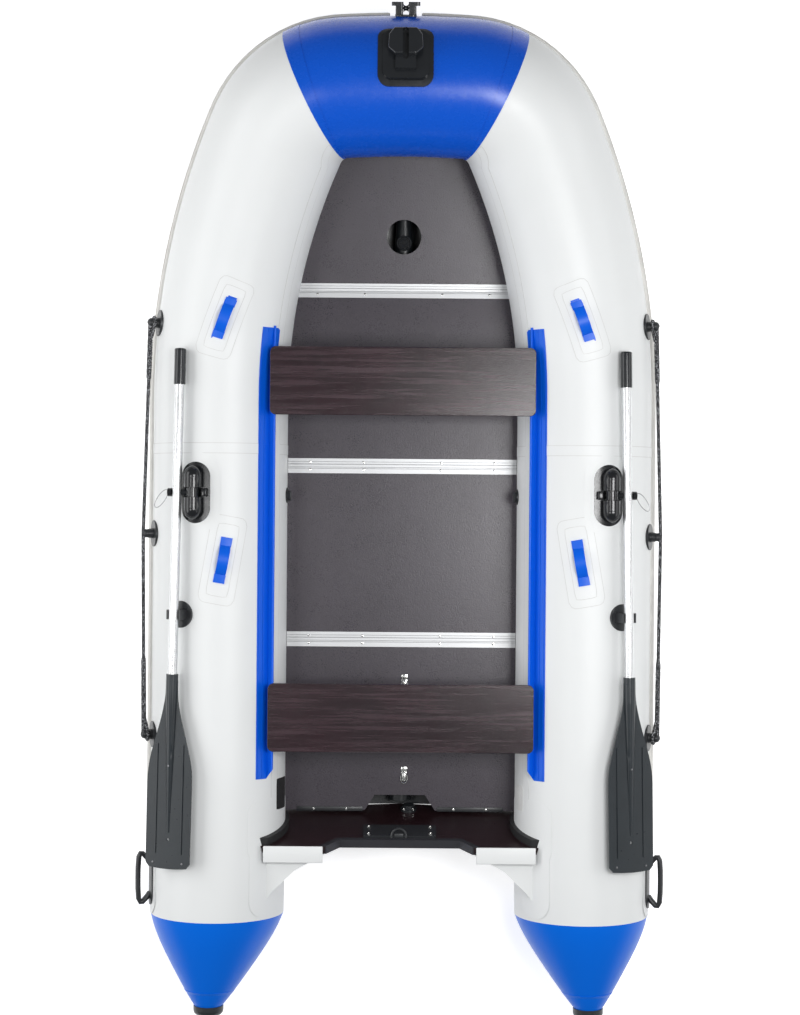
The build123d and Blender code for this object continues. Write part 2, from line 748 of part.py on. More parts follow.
# Saddles under the shafts
clip_y = -306
clip_shaft = oar_centre - oar_axis * ((oarlock_y - clip_y) / cos(yaw))
clip_normal = Vector(clip_shaft.X - tube_x, 0, clip_shaft.Z - tube_radius).normalized()
clip_reach = hypot(clip_shaft.X - tube_x, clip_shaft.Z - tube_radius)
clip_plane = Plane(Vector(tube_x, clip_y, tube_radius) + clip_normal * tube_radius, x_dir=(0, 1, 0), z_dir=clip_normal)
saddle_radius = shaft_radius + 5
with BuildPart() as oar_clip:
    with BuildSketch(clip_plane.offset(-press_depth)):
        Circle(42)
    extrude(amount=press_depth + 4)
    with BuildSketch(clip_plane.offset(-press_depth)):
        Rectangle(30, 2 * saddle_radius + 12)
    extrude(amount=press_depth + clip_reach - tube_radius + 3)
    with BuildSketch(Plane(clip_shaft + Vector(0, 60, 0), x_dir=(1, 0, 0), z_dir=(0, -1, 0))):
        Circle(saddle_radius)
    extrude(amount=120, mode=Mode.SUBTRACT)
    add(side_core, mode=Mode.SUBTRACT)
write(both_sides(oar_clip.part), "oar_clips")

# Rope eyes and the lines they carry
eye_y = (594, -56, -693)
eye_angle = 18
eye_reach = 25
rope_radius = 5
with BuildPart() as rope_eyes:
    for y in eye_y:
        eye_plane = surface_plane(s_at(y), eye_angle)
        with BuildSketch(eye_plane.offset(-press_depth)):
            Circle(41.5)
        extrude(amount=press_depth + 4)
        with BuildSketch(eye_plane):
            Circle(17)
        extrude(amount=eye_reach - 3, taper=8)
        with Locations(surface_plane(s_at(y), eye_angle, eye_reach).origin):
            Sphere(14.5)
    for start, end in zip(eye_y, eye_y[1:]):
        head = surface_plane(s_at(start), eye_angle, eye_reach).origin
        tail = surface_plane(s_at(end), eye_angle, eye_reach).origin
        along = (tail - head).normalized()
        with BuildSketch(Plane(head - along * 30, z_dir=along)):
            Circle(rope_radius + 1)
        extrude(amount=(tail - head).length + 60, mode=Mode.SUBTRACT)
    add(fore_tube.part, mode=Mode.SUBTRACT)
    add(side_core, mode=Mode.SUBTRACT)
write(both_sides(rope_eyes.part), "rope_eyes")

with BuildPart() as lifeline:
    for start, end in zip(eye_y, eye_y[1:]):
        head = surface_plane(s_at(start), eye_angle, eye_reach).origin
        tail = surface_plane(s_at(end), eye_angle, eye_reach).origin
        along = (tail - head).normalized()
        with BuildSketch(Plane(head, z_dir=along)):
            Circle(rope_radius)
        extrude(amount=(tail - head).length)
    for y in eye_y:
        with Locations(surface_plane(s_at(y), eye_angle, eye_reach).origin):
            Sphere(rope_radius + 0.02)
    for y, size in ((eye_y[0] - 16, 150), (eye_y[2] + 16 + 230, 230)):
        centre = surface_plane(s_at(y), eye_angle, eye_reach).origin
        tail = surface_plane(s_at(y - size), eye_angle, eye_reach).origin
        along = (tail - centre).normalized()
        with BuildSketch(Plane(centre - along * 4, z_dir=along)):
            Circle(rope_radius + 2)
        extrude(amount=size - 8)
    add(rope_eyes.part, mode=Mode.SUBTRACT)
write_pair(lifeline.part.solids().sort_by(SortBy.VOLUME)[-1], "lifeline")

# Carrying straps on top of the tubes, their aft ends turned outboard
strap_width = 34
strap_half = 71
strap_rise = 24
strap_sheet = 3
strap_places = ((645, 93, 12.5), (-136, 97, 10))
with BuildPart() as grab_straps:
    for y, angle, turn in strap_places:
        place = surface_plane(s_at(y), angle, 0, turn)
        with BuildSketch(Plane(place.origin + place.y_dir * (strap_width / 2), x_dir=place.x_dir, z_dir=place.y_dir * -1)):
            with BuildLine():
                Polyline((-strap_half, -press_depth), (-strap_half, strap_sheet), (-strap_half + 22, strap_sheet))
                ThreePointArc((-strap_half + 22, strap_sheet), (0, strap_rise), (strap_half - 22, strap_sheet))
                Polyline(
                    (strap_half - 22, strap_sheet),
                    (strap_half, strap_sheet),
                    (strap_half, -press_depth),
                    (strap_half - 24, -press_depth),
                    (strap_half - 24, 0.4),
                )
                ThreePointArc((strap_half - 24, 0.4), (0, strap_rise - strap_sheet), (-strap_half + 24, 0.4))
                Polyline((-strap_half + 24, 0.4), (-strap_half + 24, -press_depth), (-strap_half, -press_depth))
            make_face()
        extrude(amount=strap_width)
    add(fore_tube.part, mode=Mode.SUBTRACT)
    add(side_core, mode=Mode.SUBTRACT)
write(both_sides(grab_straps.part), "grab_straps")

# Handles on the outer sides near the stern
handle_y = -1150
handle_half = 80
handle_angle = 14
handle_reach = 40
with BuildPart() as stern_handle:
    place = surface_plane(s_at(handle_y), handle_angle)
    with BuildSketch(place.offset(-press_depth)):
        SlotOverall(2 * handle_half + 10, 46)
    extrude(amount=press_depth + 4)
    with BuildSketch(Plane(place.origin + place.y_dir * 11, x_dir=place.x_dir, z_dir=place.y_dir * -1)):
        with BuildLine():
            Polyline((-68, 0), (-handle_half, handle_reach - 8), (-handle_half, handle_reach))
            ThreePointArc((-handle_half, handle_reach), (0, handle_reach + 7), (handle_half, handle_reach))
            Polyline((handle_half, handle_reach), (handle_half, handle_reach - 8), (68, 0), (46, 0))
            ThreePointArc((46, 0), (0, handle_reach - 9), (-46, 0))
            Line((-46, 0), (-68, 0))
        make_face()
    extrude(amount=22)
    add(side_core, mode=Mode.SUBTRACT)
    add(aft_tube.part, mode=Mode.SUBTRACT)
write(both_sides(stern_handle.part), "stern_handles")

# Rubbing strake round the outside, from the bow fairlead to the stern handles
strake_proud = 12
strake_half = 18
strake_from = 46
strake_stations = stations(strake_from, bow_arc_length, 80) + stations(bow_arc_length, corner_end_s, 42)[1:]
strake_stations += stations(corner_end_s, straight_s, 170)[1:]
strake_end_s = s_at(handle_y + handle_half + 30)
strake_section = (
    (tube_radius - press_depth, -strake_half),
    (tube_radius + strake_proud - 6, -strake_half),
    (tube_radius + strake_proud, -strake_half + 8),
    (tube_radius + strake_proud, strake_half - 8),
    (tube_radius + strake_proud - 6, strake_half),
    (tube_radius - press_depth, strake_half),
)
with BuildPart() as rub_strake:
    for s in strake_stations:
        with BuildSketch(ring_plane(s)):
            Polygon(*strake_section, align=None)
    loft(ruled=True)
    with BuildSketch(ring_plane(straight_s)):
        Polygon(*strake_section, align=None)
    extrude(amount=strake_end_s - straight_s)
    add(bow_panel, mode=Mode.SUBTRACT)
    add(fore_tube.part, mode=Mode.SUBTRACT)
    add(side_core, mode=Mode.SUBTRACT)
write_pair(rub_strake.part.solids().sort_by(SortBy.VOLUME)[-1], "rub_strake")

# Towing cleat on the bow panel
bow_ring = ring_plane(0)


def bow_surface(angle, lift=0):
    """Plane on the bow tube over the centre line: x points to starboard, y forwards round the tube and z outwards."""
    outward = Vector(0, cos(radians(angle)), sin(radians(angle)))
    return Plane(bow_ring.origin + outward * (tube_radius + lift), x_dir=(1, 0, 0), z_dir=outward)


cleat_place = bow_surface(75)
cleat_height = 36
cleat_head_height = 16
with BuildPart() as cleat_head:
    with BuildSketch(cleat_place.offset(cleat_height - cleat_head_height)):
        Polygon((-31, -12), (-53, 8), (-50, 52), (-34, 74), (34, 74), (50, 52), (53, 8), (31, -12), align=None)
    extrude(amount=cleat_head_height)
    fillet(cleat_head.edges().filter_by(Axis((0, 0, 0), cleat_place.z_dir)), radius=10)
    top_face = cleat_head.faces().sort_by(Axis(cleat_place.origin, cleat_place.z_dir))[-1]
    fillet(top_face.edges(), radius=5)
with BuildPart() as bow_cleat:
    with BuildSketch(cleat_place.offset(-60)):
        RectangleRounded(168, 190, 34)
    extrude(amount=80)
    add(bow_tube(tube_radius + 4, 160), mode=Mode.INTERSECT)
    with BuildSketch(cleat_place.offset(-30)):
        RectangleRounded(138, 158, 26)
    extrude(amount=36)
    with BuildSketch(cleat_place.offset(-30)):
        Polygon((-35, -56), (35, -56), (31, 68), (-31, 68), align=None)
    extrude(amount=30 + cleat_height - cleat_head_height, taper=4)
    add(cleat_head.part)
    with BuildSketch(cleat_place.offset(9)):
        with Locations((0, 25)):
            SlotOverall(96, 18, rotation=90)
    extrude(amount=60, mode=Mode.SUBTRACT)
    add(bow_panel, mode=Mode.SUBTRACT)
write(bow_cleat.part.solids().sort_by(SortBy.VOLUME)[-1], "bow_cleat")

# Bow fairlead: two horned posts with a waisted roller between them
fairlead_place = bow_surface(14)
post_gap = 9
post_height = 42
roller_height = 23
roller_axle = 3.5
with BuildPart() as bow_fairlead:
    with BuildSketch(fairlead_place.offset(-40)):
        RectangleRounded(66, 58, 12)
    extrude(amount=60)
    add(bow_tube(tube_radius + 5, 120), mode=Mode.INTERSECT)
    for side in (-1, 1):
        with BuildSketch(fairlead_place.offset(-10)):
            with Locations((side * (post_gap + 11.5), 0)):
                RectangleRounded(23, 40, 5)
        extrude(amount=post_height + 10)
        with BuildSketch(fairlead_place.offset(post_height - 12)):
            with Locations((side * (post_gap + 17), 0)):
                RectangleRounded(36, 40, 8)
        extrude(amount=12)
    roller_centre = fairlead_place.origin + fairlead_place.z_dir * roller_height
    with BuildSketch(Plane(roller_centre - Vector(post_gap + 2, 0, 0), z_dir=(1, 0, 0))):
        Circle(roller_axle)
    extrude(amount=2 * post_gap + 4)
    add(bow_panel, mode=Mode.SUBTRACT)
write(bow_fairlead.part.solids().sort_by(SortBy.VOLUME)[-1], "bow_fairlead")

with BuildPart() as bow_roller:
    with BuildSketch(Plane(roller_centre, x_dir=(1, 0, 0), z_dir=(0, 0, -1))):
        with BuildLine():
            Polyline((-8, roller_axle + 0.8), (8, roller_axle + 0.8), (8, 11.5), (6.5, 11.5))
            ThreePointArc((6.5, 11.5), (0, 7.5), (-6.5, 11.5))
            Polyline((-6.5, 11.5), (-8, 11.5), (-8, roller_axle + 0.8))
        make_face()
    revolve(axis=Axis(roller_centre, (1, 0, 0)))
write(bow_roller.part, "bow_roller")

# Inflation valves on the inner sides of the tubes
with BuildPart() as air_valve:
    valve_place = surface_plane(s_at(68), 176)
    with BuildSketch(valve_place.offset(-press_depth)):
        Circle(25)
    extrude(amount=press_depth + 4)
    with BuildSketch(valve_place):
        RegularPolygon(17, 12)
    extrude(amount=13)
    add(side_core, mode=Mode.SUBTRACT)
write(both_sides(air_valve.part), "air_valves")

with BuildPart() as keel_valve:
    with BuildSketch(Plane.XY.offset(84)):
        with Locations((0, 893)):
            Circle(25)
    extrude(amount=20)
    with BuildSketch(Plane.XY.offset(104)):
        with Locations((0, 893)):
            RegularPolygon(18, 12)
    extrude(amount=7)
    add(keel_tube.part, mode=Mode.SUBTRACT)
write(keel_valve.part.solids().sort_by(SortBy.VOLUME)[-1], "keel_valve")

with BuildPart() as drain_valve:
    with BuildSketch(transom_plane.offset(-8)):
        with Locations((drain_x, up_board(drain_z))):
            Circle(26)
    extrude(amount=8)
    with BuildSketch(transom_plane.offset(-20)):
        with Locations((drain_x, up_board(drain_z))):
            RegularPolygon(18, 12)
    extrude(amount=14)
    with BuildSketch(transom_plane):
        with Locations((drain_x, up_board(drain_z))):
            Circle(drain_radius)
    extrude(amount=transom_thickness)
    with BuildSketch(aft_face):
        with Locations((drain_x, up_board(drain_z))):
            Circle(26)
    extrude(amount=6)
write(drain_valve.part, "drain_valve")
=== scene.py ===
# %% [markdown]
# # An inflatable boat seen from above
# The CAD model brings every hard part of the boat at its true size and place. This script gives those parts
# their finishes and adds what is too thin or too small for the CAD: seam tapes, patches, screws, rivets,
# latches, slimmer stern handles and the braided lifelines. It is meant to be read from the top, one step at a
# time.

# %% Load the CAD frame
from math import asin, cos, degrees, pi, radians, sin, sqrt

import bmesh
import bpy
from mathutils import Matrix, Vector


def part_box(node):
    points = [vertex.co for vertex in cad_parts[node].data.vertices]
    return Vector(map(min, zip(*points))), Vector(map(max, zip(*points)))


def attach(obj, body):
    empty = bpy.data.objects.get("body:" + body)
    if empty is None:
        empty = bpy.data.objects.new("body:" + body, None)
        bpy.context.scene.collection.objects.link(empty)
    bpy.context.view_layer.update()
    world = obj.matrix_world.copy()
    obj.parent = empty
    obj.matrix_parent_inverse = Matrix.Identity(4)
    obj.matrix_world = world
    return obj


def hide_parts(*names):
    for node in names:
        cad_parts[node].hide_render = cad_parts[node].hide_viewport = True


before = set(bpy.data.objects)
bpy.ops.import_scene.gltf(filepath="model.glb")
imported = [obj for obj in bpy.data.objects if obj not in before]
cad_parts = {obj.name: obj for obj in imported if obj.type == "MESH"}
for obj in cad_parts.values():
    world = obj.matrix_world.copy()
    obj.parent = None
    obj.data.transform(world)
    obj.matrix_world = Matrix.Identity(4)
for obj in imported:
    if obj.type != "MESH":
        bpy.data.objects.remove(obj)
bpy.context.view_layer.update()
nodes = {name: bpy.data.objects[name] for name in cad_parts}
bpy.ops.object.select_all(action="DESELECT")
print("CAD nodes:", len(nodes))

# %% [markdown]
# ## The camera
# The photograph was taken from straight above and far away, with the bow at the top of the frame. A pinhole
# camera seven metres up gives the same slight foreshortening between the floor boards and the tops of the
# tubes. The boat lies a fraction of a degree off square in the photograph, so the camera is rolled by that
# much instead.

# %% Camera over the middle of the boat
photo_height = 1015
camera_height = 7.0
focal_pixels = 2117
sensor = 36.0
camera_x, camera_y = -0.0066, 0.032
camera_roll = radians(0.45)
camera_data = bpy.data.cameras.new("overhead_camera")
camera_data.sensor_fit = "VERTICAL"
camera_data.sensor_height = sensor
camera_data.lens = focal_pixels / photo_height * sensor
camera = bpy.data.objects.new("overhead_camera", camera_data)
camera.location = (camera_x, camera_y, camera_height)
camera.rotation_euler = (0, 0, camera_roll)
bpy.context.scene.collection.objects.link(camera)
bpy.context.scene.camera = camera
print("lens:", round(camera_data.lens, 2), "mm")

# %% [markdown]
# ## Floor, world and lamps
# The photograph is a studio cut-out on white. A pale floor that shines a little, for the camera and for
# reflections only, comes out white and still takes the soft shadow that sets the boat down. The world gives
# an even fill, a key lamp high on the starboard side gives the boards their glare, and long low boxes on both
# sides light the flanks of the tubes.

# %% Shader helpers


class Signal:
    """One shader socket that can be used in sums."""

    def __init__(self, finish, socket):
        self.finish = finish
        self.socket = socket

    def maths(self, operation, *others):
        inputs = {0: self, **dict(enumerate(others, 1))}
        return self.finish.node("ShaderNodeMath", {"operation": operation}, inputs)

    def __add__(self, other):
        return self.maths("ADD", other)

    def __sub__(self, other):
        return self.maths("SUBTRACT", other)

    def __rsub__(self, other):
        return self.maths("MULTIPLY", -1) + other

    def __mul__(self, other):
        return self.maths("MULTIPLY", other)

    def __lt__(self, other):
        return self.maths("LESS_THAN", other)

    __radd__ = __add__
    __rmul__ = __mul__

    def soft_above(self, edge, width):
        """0 below edge, 1 above edge + width, smooth between."""
        settings = {"interpolation_type": "SMOOTHSTEP"}
        inputs = {"Value": self, "From Min": edge, "From Max": edge + width}
        return self.finish.node("ShaderNodeMapRange", settings, inputs)


class Finish:
    """A material whose nodes are added by one method."""

    def __init__(self, name, colour, roughness, **fixed):
        self.material = bpy.data.materials.new(name)
        self.material.use_nodes = True
        self.material.diffuse_color = (*colour, 1)
        self.tree = self.material.node_tree
        self.shader = self.tree.nodes["Principled BSDF"]
        self.shader.inputs["Base Color"].default_value = (*colour, 1)
        self.shader.inputs["Roughness"].default_value = roughness
        for socket, value in fixed.items():
            self.shader.inputs[socket.replace("_", " ").title().replace("Ior", "IOR")].default_value = value
        self.position = self.node("ShaderNodeTexCoord", {}, {}, "Object")

    def node(self, kind, settings, inputs, output=0):
        """Adds a node, makes its settings, then fills its sockets with values or signals."""
        new = self.tree.nodes.new(kind)
        for name, value in settings.items():
            setattr(new, name, value)
        for key, value in inputs.items():
            if isinstance(value, Signal):
                self.tree.links.new(value.socket, new.inputs[key])
            else:
                new.inputs[key].default_value = value
        return Signal(self, new.outputs[output])

    def noise(self, scale, detail=3, roughness=0.5, stretch=(1, 1, 1)):
        """Cloudy value from 0 to 1; stretch scales the pattern along each axis."""
        where = self.node("ShaderNodeMapping", {}, {"Vector": self.position, "Scale": stretch})
        inputs = {"Vector": where, "Scale": scale, "Detail": detail, "Roughness": roughness}
        return self.node("ShaderNodeTexNoise", {}, inputs)

    def axis(self, name):
        """One coordinate in metres."""
        return self.node("ShaderNodeSeparateXYZ", {}, {0: self.position}, name)

    def facing(self, name):
        """One part of the surface's normal."""
        normal = self.node("ShaderNodeNewGeometry", {}, {}, "Normal")
        return self.node("ShaderNodeSeparateXYZ", {}, {0: normal}, name)

    def blend(self, factor, first, second):
        """Colour between two colours."""
        first = (*first, 1) if isinstance(first, tuple) else first
        second = (*second, 1) if isinstance(second, tuple) else second
        inputs = {"Factor": factor, 6: first, 7: second}
        return self.node("ShaderNodeMix", {"data_type": "RGBA"}, inputs, 2)

    def feed(self, socket, signal):
        """Links a signal to the main shader."""
        self.tree.links.new(signal.socket, self.shader.inputs[socket])

    def bump(self, height, distance, strength=1.0, under=None):
        """Turns a height into a bent normal; returns it so that bumps can be stacked."""
        inputs = {"Height": height, "Distance": distance, "Strength": strength}
        if under is not None:
            inputs["Normal"] = under
        normal = self.node("ShaderNodeBump", {}, inputs)
        self.feed("Normal", normal)
        return normal


def shaded(colour, share):
    """A colour made darker or paler, never above 1."""
    return tuple(min(1, part * share) for part in colour)


# %% Studio floor, world and lamps
studio_floor = Finish("studio_floor", (0.93, 0.93, 0.93), 0.9)
camera_ray = studio_floor.node("ShaderNodeLightPath", {}, {}, "Is Camera Ray")
glossy_ray = studio_floor.node("ShaderNodeLightPath", {}, {}, "Is Glossy Ray")
lifted = camera_ray.maths("MAXIMUM", glossy_ray)
studio_floor.feed("Emission Color", studio_floor.blend(lifted, (0, 0, 0), (1, 1, 1)))
studio_floor.shader.inputs["Emission Strength"].default_value = 0.62
bpy.ops.mesh.primitive_plane_add(size=60, location=(0, 0, -0.001))
floor = bpy.context.object
floor.name = "studio_floor"
floor.data.materials.append(studio_floor.material)

world = bpy.data.worlds.new("studio_sky")
bpy.context.scene.world = world
world.use_nodes = True
world.node_tree.nodes["Background"].inputs["Color"].default_value = (0.97, 0.985, 1.0, 1)
world.node_tree.nodes["Background"].inputs["Strength"].default_value = 0.20


def softbox(name, place, aim, size, power):
    """Rectangular lamp that looks at a point."""
    lamp = bpy.data.lights.new(name, "AREA")
    lamp.shape = "RECTANGLE"
    lamp.size, lamp.size_y = size
    lamp.energy = power
    holder = bpy.data.objects.new(name, lamp)
    holder.location = place
    holder.rotation_euler = (Vector(aim) - Vector(place)).to_track_quat("-Z", "Y").to_euler()
    bpy.context.scene.collection.objects.link(holder)


softbox("softbox_port", (-3.6, 0.2, 2.1), (0, 0, 0.3), (4.6, 1.8), 78)
softbox("key_lamp", (1.42, 0.05, 4.6), (0.2, 0, 0.2), (1.15, 1.7), 98)
softbox("fill_lamp", (-1.9, -0.3, 4.6), (0, 0, 0.2), (0.9, 1.4), 31)
softbox("softbox_starboard", (3.4, 0.0, 1.9), (0, 0, 0.3), (4.6, 1.4), 36)
bpy.context.scene.view_settings.view_transform = "Standard"

# %% [markdown]
# ## Coated fabric
# The tubes are a woven polyester with a PVC coating. Its own look is a soft sheen, a very fine linen emboss
# from the threads beneath, slow ripples where the air pulls the panels, and a trace of dirt low down. Object
# coordinates are enough, since the emboss is far finer than any panel.

# %% Fabric finishes
thread = 0.0016
dust = (0.30, 0.28, 0.25)
dust_share = 0.45


def coated_fabric(name, colour, roughness, dirt=0.06, ripple=0.0022, shine=0.5):
    """PVC-coated fabric of one colour."""
    cloth = Finish(name, colour, roughness, Specular_Ior_Level=shine)
    cloud = cloth.noise(2.2, 4, 0.6)
    low = (cloth.facing("Z") * -1).soft_above(0.1, 0.8) * cloth.noise(9, 5, 0.6)
    shade = cloth.blend(cloud, shaded(colour, 0.955), shaded(colour, 1.02))
    dusty = tuple((1 - dust_share) * c + dust_share * d for c, d in zip(colour, dust))
    cloth.feed("Base Color", cloth.blend(low * (dirt * 6), shade, dusty))
    cloth.feed("Roughness", cloth.noise(40, 4, 0.6) * 0.16 + (roughness - 0.08))
    turn = 2 * pi / thread
    along = (cloth.axis("Y") * turn).maths("SINE")
    across = ((cloth.axis("X") + cloth.axis("Z")) * (turn * 0.72)).maths("SINE")
    weave = cloth.bump(along * across, 0.00006, 0.25)
    cloth.bump(cloth.noise(7, 3, 0.45, (1, 0.6, 1)), ripple, 0.8, under=weave)
    return cloth


white_skin = coated_fabric("white_skin", (0.84, 0.855, 0.855), 0.42)
blue_skin = coated_fabric("blue_skin", (0.0, 0.090, 0.62), 0.27, dirt=0.0, shine=0.45)
cone_skin = coated_fabric("cone_skin", (0.0, 0.155, 0.80), 0.32, dirt=0.0, shine=0.2)
rail_skin = coated_fabric("rail_skin", (0.0, 0.118, 0.76), 0.34, dirt=0.0, ripple=0.0008, shine=0.3)
bottom_skin = coated_fabric("bottom_skin", (0.010, 0.012, 0.014), 0.30, dirt=0.04)

# %% [markdown]
# ## Film-faced plywood
# Boards, benches and transom are birch plywood under a dark brown phenolic film. The floor's film is pressed
# with a fine mesh, and the benches show reddish clouds and long streaks that break up the gloss. The sawn
# edges are sealed dark and still show the glued layers. An edge is picked out by its sideways normal, and its
# layers are stripes in height.

# %% Plywood finishes
veneer = 0.0024
dark_layer, pale_layer = (0.018, 0.012, 0.010), (0.040, 0.027, 0.020)


def film_plywood(
    name, colour, roughness, streak_stretch, edge_from=0.15, blotch=0.0, streak=0.1, shine=0.55, grain=0.0
):
    """Dark film over plywood; streaks follow the grain and break up the gloss."""
    ply = Finish(name, colour, roughness, Specular_Ior_Level=shine)
    mesh = ply.noise(260, 2, 0.6)
    cloud = ply.noise(4.5, 4, 0.6, (1.4, 1.4, 1.4))
    face = ply.blend(mesh * 0.7 + cloud * 0.3, shaded(colour, 0.45), shaded(colour, 1.55))
    streaks = ply.noise(3.0, 6, 0.75, streak_stretch)
    face = ply.blend(streaks.soft_above(0.46, 0.16) * grain, face, shaded(colour, 3.2))
    reddish = (colour[0] * 2.4, colour[1] * 1.4, colour[2] * 1.7)
    face = ply.blend(cloud.soft_above(0.30, 0.45) * blotch, face, reddish)
    layer = (ply.axis("Z") * (2 * pi / veneer)).maths("SINE").soft_above(-0.2, 0.4)
    edge = ply.blend(layer, dark_layer, pale_layer)
    side = 1 - ply.facing("Z").maths("ABSOLUTE").soft_above(edge_from, 0.1)
    ply.feed("Base Color", ply.blend(side, face, edge))
    ply.feed("Roughness", mesh * 0.10 + streaks * streak + (roughness - 0.05 - streak / 2))
    rough = ply.bump(mesh, 0.0007, 0.5)
    ply.bump(streaks, 0.0006, 0.25, under=rough)
    return ply


floor_ply = film_plywood("floor_ply", (0.064, 0.055, 0.068), 0.29, (3, 3, 3))
bench_ply = film_plywood(
    "bench_ply", (0.017, 0.008, 0.011), 0.20, (0.8, 22, 22), blotch=0.4, streak=0.34, shine=0.7, grain=0.55
)
transom_ply = film_plywood("transom_ply", (0.020, 0.008, 0.010), 0.3, (1.3, 20, 20), edge_from=0.06)

# %% [markdown]
# ## Mouldings, metal and rope
# Small fittings are black polyamide with a spark-eroded grain, the blades are a greyer plastic, the joiners
# and oar shafts are anodised aluminium with lines from the extruder, and the latches are plated steel.

# %% Moulded, metal and rubber finishes


def moulded(name, colour, roughness, grain=0.00010):
    """Injection-moulded plastic with a fine grain."""
    shell = Finish(name, colour, roughness)
    cloud = shell.noise(14, 4, 0.6)
    shell.feed("Base Color", shell.blend(cloud, shaded(colour, 0.8), shaded(colour, 1.25)))
    shell.feed("Roughness", shell.noise(60, 5, 0.65) * 0.2 + (roughness - 0.1))
    shell.bump(shell.noise(1400, 2, 0.5), grain, 0.4)
    return shell


def extruded(name, colour, roughness, stretch, metallic=0.9):
    """Anodised extrusion with fine lines along its length."""
    metal = Finish(name, colour, roughness, Metallic=metallic)
    lines = metal.noise(6, 5, 0.7, stretch)
    metal.feed("Base Color", metal.blend(lines, shaded(colour, 0.88), shaded(colour, 1.06)))
    metal.feed("Roughness", lines * 0.2 + (roughness - 0.1))
    metal.bump(lines, 0.0001, 0.08)
    return metal


def grooved(metal, middles, grooves):
    """Cuts lines across the boat into extrusions that lie at several places along y, and paints shade into
    them.
    """
    along = metal.axis("Y")
    cut = None
    for middle in middles:
        for offset, half_width in grooves:
            line = (along - (middle + offset)).maths("ABSOLUTE") < half_width
            cut = line if cut is None else cut.maths("MAXIMUM", line)
    plain_colour = metal.shader.inputs["Base Color"].links[0].from_socket
    # Painted shade: the grooves are coloured dark grey where shade falls in them; the bump below gives them
    # their shape.
    metal.feed("Base Color", metal.blend(cut * 0.55, Signal(metal, plain_colour), (0.16, 0.16, 0.17)))
    metal.bump(1 - cut, 0.0012, 0.9)


black_moulding = moulded("black_moulding", (0.022, 0.024, 0.027), 0.38)
grip_moulding = moulded("grip_moulding", (0.016, 0.018, 0.021), 0.22)
blade_moulding = moulded("blade_moulding", (0.017, 0.023, 0.028), 0.31)
gloss_moulding = moulded("gloss_moulding", (0.010, 0.011, 0.013), 0.20, 0.00003)
holder_rubber = moulded("holder_rubber", (0.02, 0.02, 0.021), 0.55)
glue_line = moulded("glue_line", (0.66, 0.66, 0.65), 0.5, 0.00003)
ring_wire = extruded("ring_wire", (0.22, 0.22, 0.23), 0.3, (30, 30, 30), 1.0)
strake_rubber = moulded("strake_rubber", (0.70, 0.69, 0.66), 0.5)
cap_white = moulded("cap_white", (0.80, 0.80, 0.79), 0.4, 0.00003)
cap_rubber = moulded("cap_rubber", (0.026, 0.026, 0.031), 0.5)
joiner_metal = extruded("joiner_metal", (0.80, 0.81, 0.82), 0.38, (0.6, 90, 90), 0.35)
joiner_y = (0.738, 0.166, -0.398)
joiner_grooves = ((0.0055, 0.0011), (-0.004, 0.0006), (-0.0085, 0.0006), (0.0135, 0.0005))
grooved(joiner_metal, joiner_y, joiner_grooves)
stringer_metal = extruded("stringer_metal", (0.80, 0.81, 0.82), 0.35, (90, 0.6, 90))
shaft_metal = extruded("shaft_metal", (0.72, 0.73, 0.74), 0.27, (90, 0.5, 90), 0.8)
plated_steel = extruded("plated_steel", (0.82, 0.82, 0.80), 0.2, (30, 30, 30), 1.0)

rope_yarn = Finish("rope_yarn", (0.02, 0.02, 0.022), 0.75)
fleck = rope_yarn.noise(300, 2, 0.6, (1, 0.7, 1)).soft_above(0.54, 0.06)
rope_yarn.feed("Base Color", rope_yarn.blend(fleck, (0.018, 0.018, 0.021), (0.42, 0.43, 0.45)))
rope_yarn.feed("Roughness", fleck * -0.15 + 0.75)
rope_yarn.bump(rope_yarn.noise(900, 3, 0.6, (1, 0.2, 1)), 0.0004, 0.6)

# %% [markdown]
# ## Dressing the CAD parts
# A CAD node whose shape is right keeps its mesh and only takes a better finish in its material slot.

# %% Finish of every CAD node
finish_of = {
    "tube_": white_skin,
    "transom_gussets": white_skin,
    "bow_panel": blue_skin,
    "stern_cone": cone_skin,
    "seat_rail": rail_skin,
    "grab_straps": rail_skin,
    "bottom_skin": bottom_skin,
    "keel_tube": bottom_skin,
    "floor_board": floor_ply,
    "bench_": bench_ply,
    "bench_channels": black_moulding,
    "transom": transom_ply,
    "transom_edge_cap": cap_rubber,
    "transom_holders": holder_rubber,
    "clamp_plate": black_moulding,
    "cone_tips": black_moulding,
    "oarlock_": gloss_moulding,
    "oar_grip": grip_moulding,
    "oar_blade": blade_moulding,
    "oar_shaft": shaft_metal,
    "oar_clips": black_moulding,
    "rope_eyes": black_moulding,
    "lifeline": rope_yarn,
    "stern_handles": black_moulding,
    "bow_": grip_moulding,
    "air_valves": black_moulding,
    "keel_valve": gloss_moulding,
    "drain_valve": black_moulding,
    "floor_joiner": joiner_metal,
    "side_stringers": stringer_metal,
    "rub_strake": strake_rubber,
}
for name, node in nodes.items():
    start = max((key for key in finish_of if name.startswith(key)), key=len)
    node.data.materials.clear()
    node.data.materials.append(finish_of[start].material)
print("finishes given to", len(nodes), "nodes")

# %% [markdown]
# ## Finding places on the tubes
# Tapes and patches lie on the curved tubes. The tube's centre line is three arcs and a straight run, so a
# point on the tube is a length along that line and an angle round it, counted up from outboard.

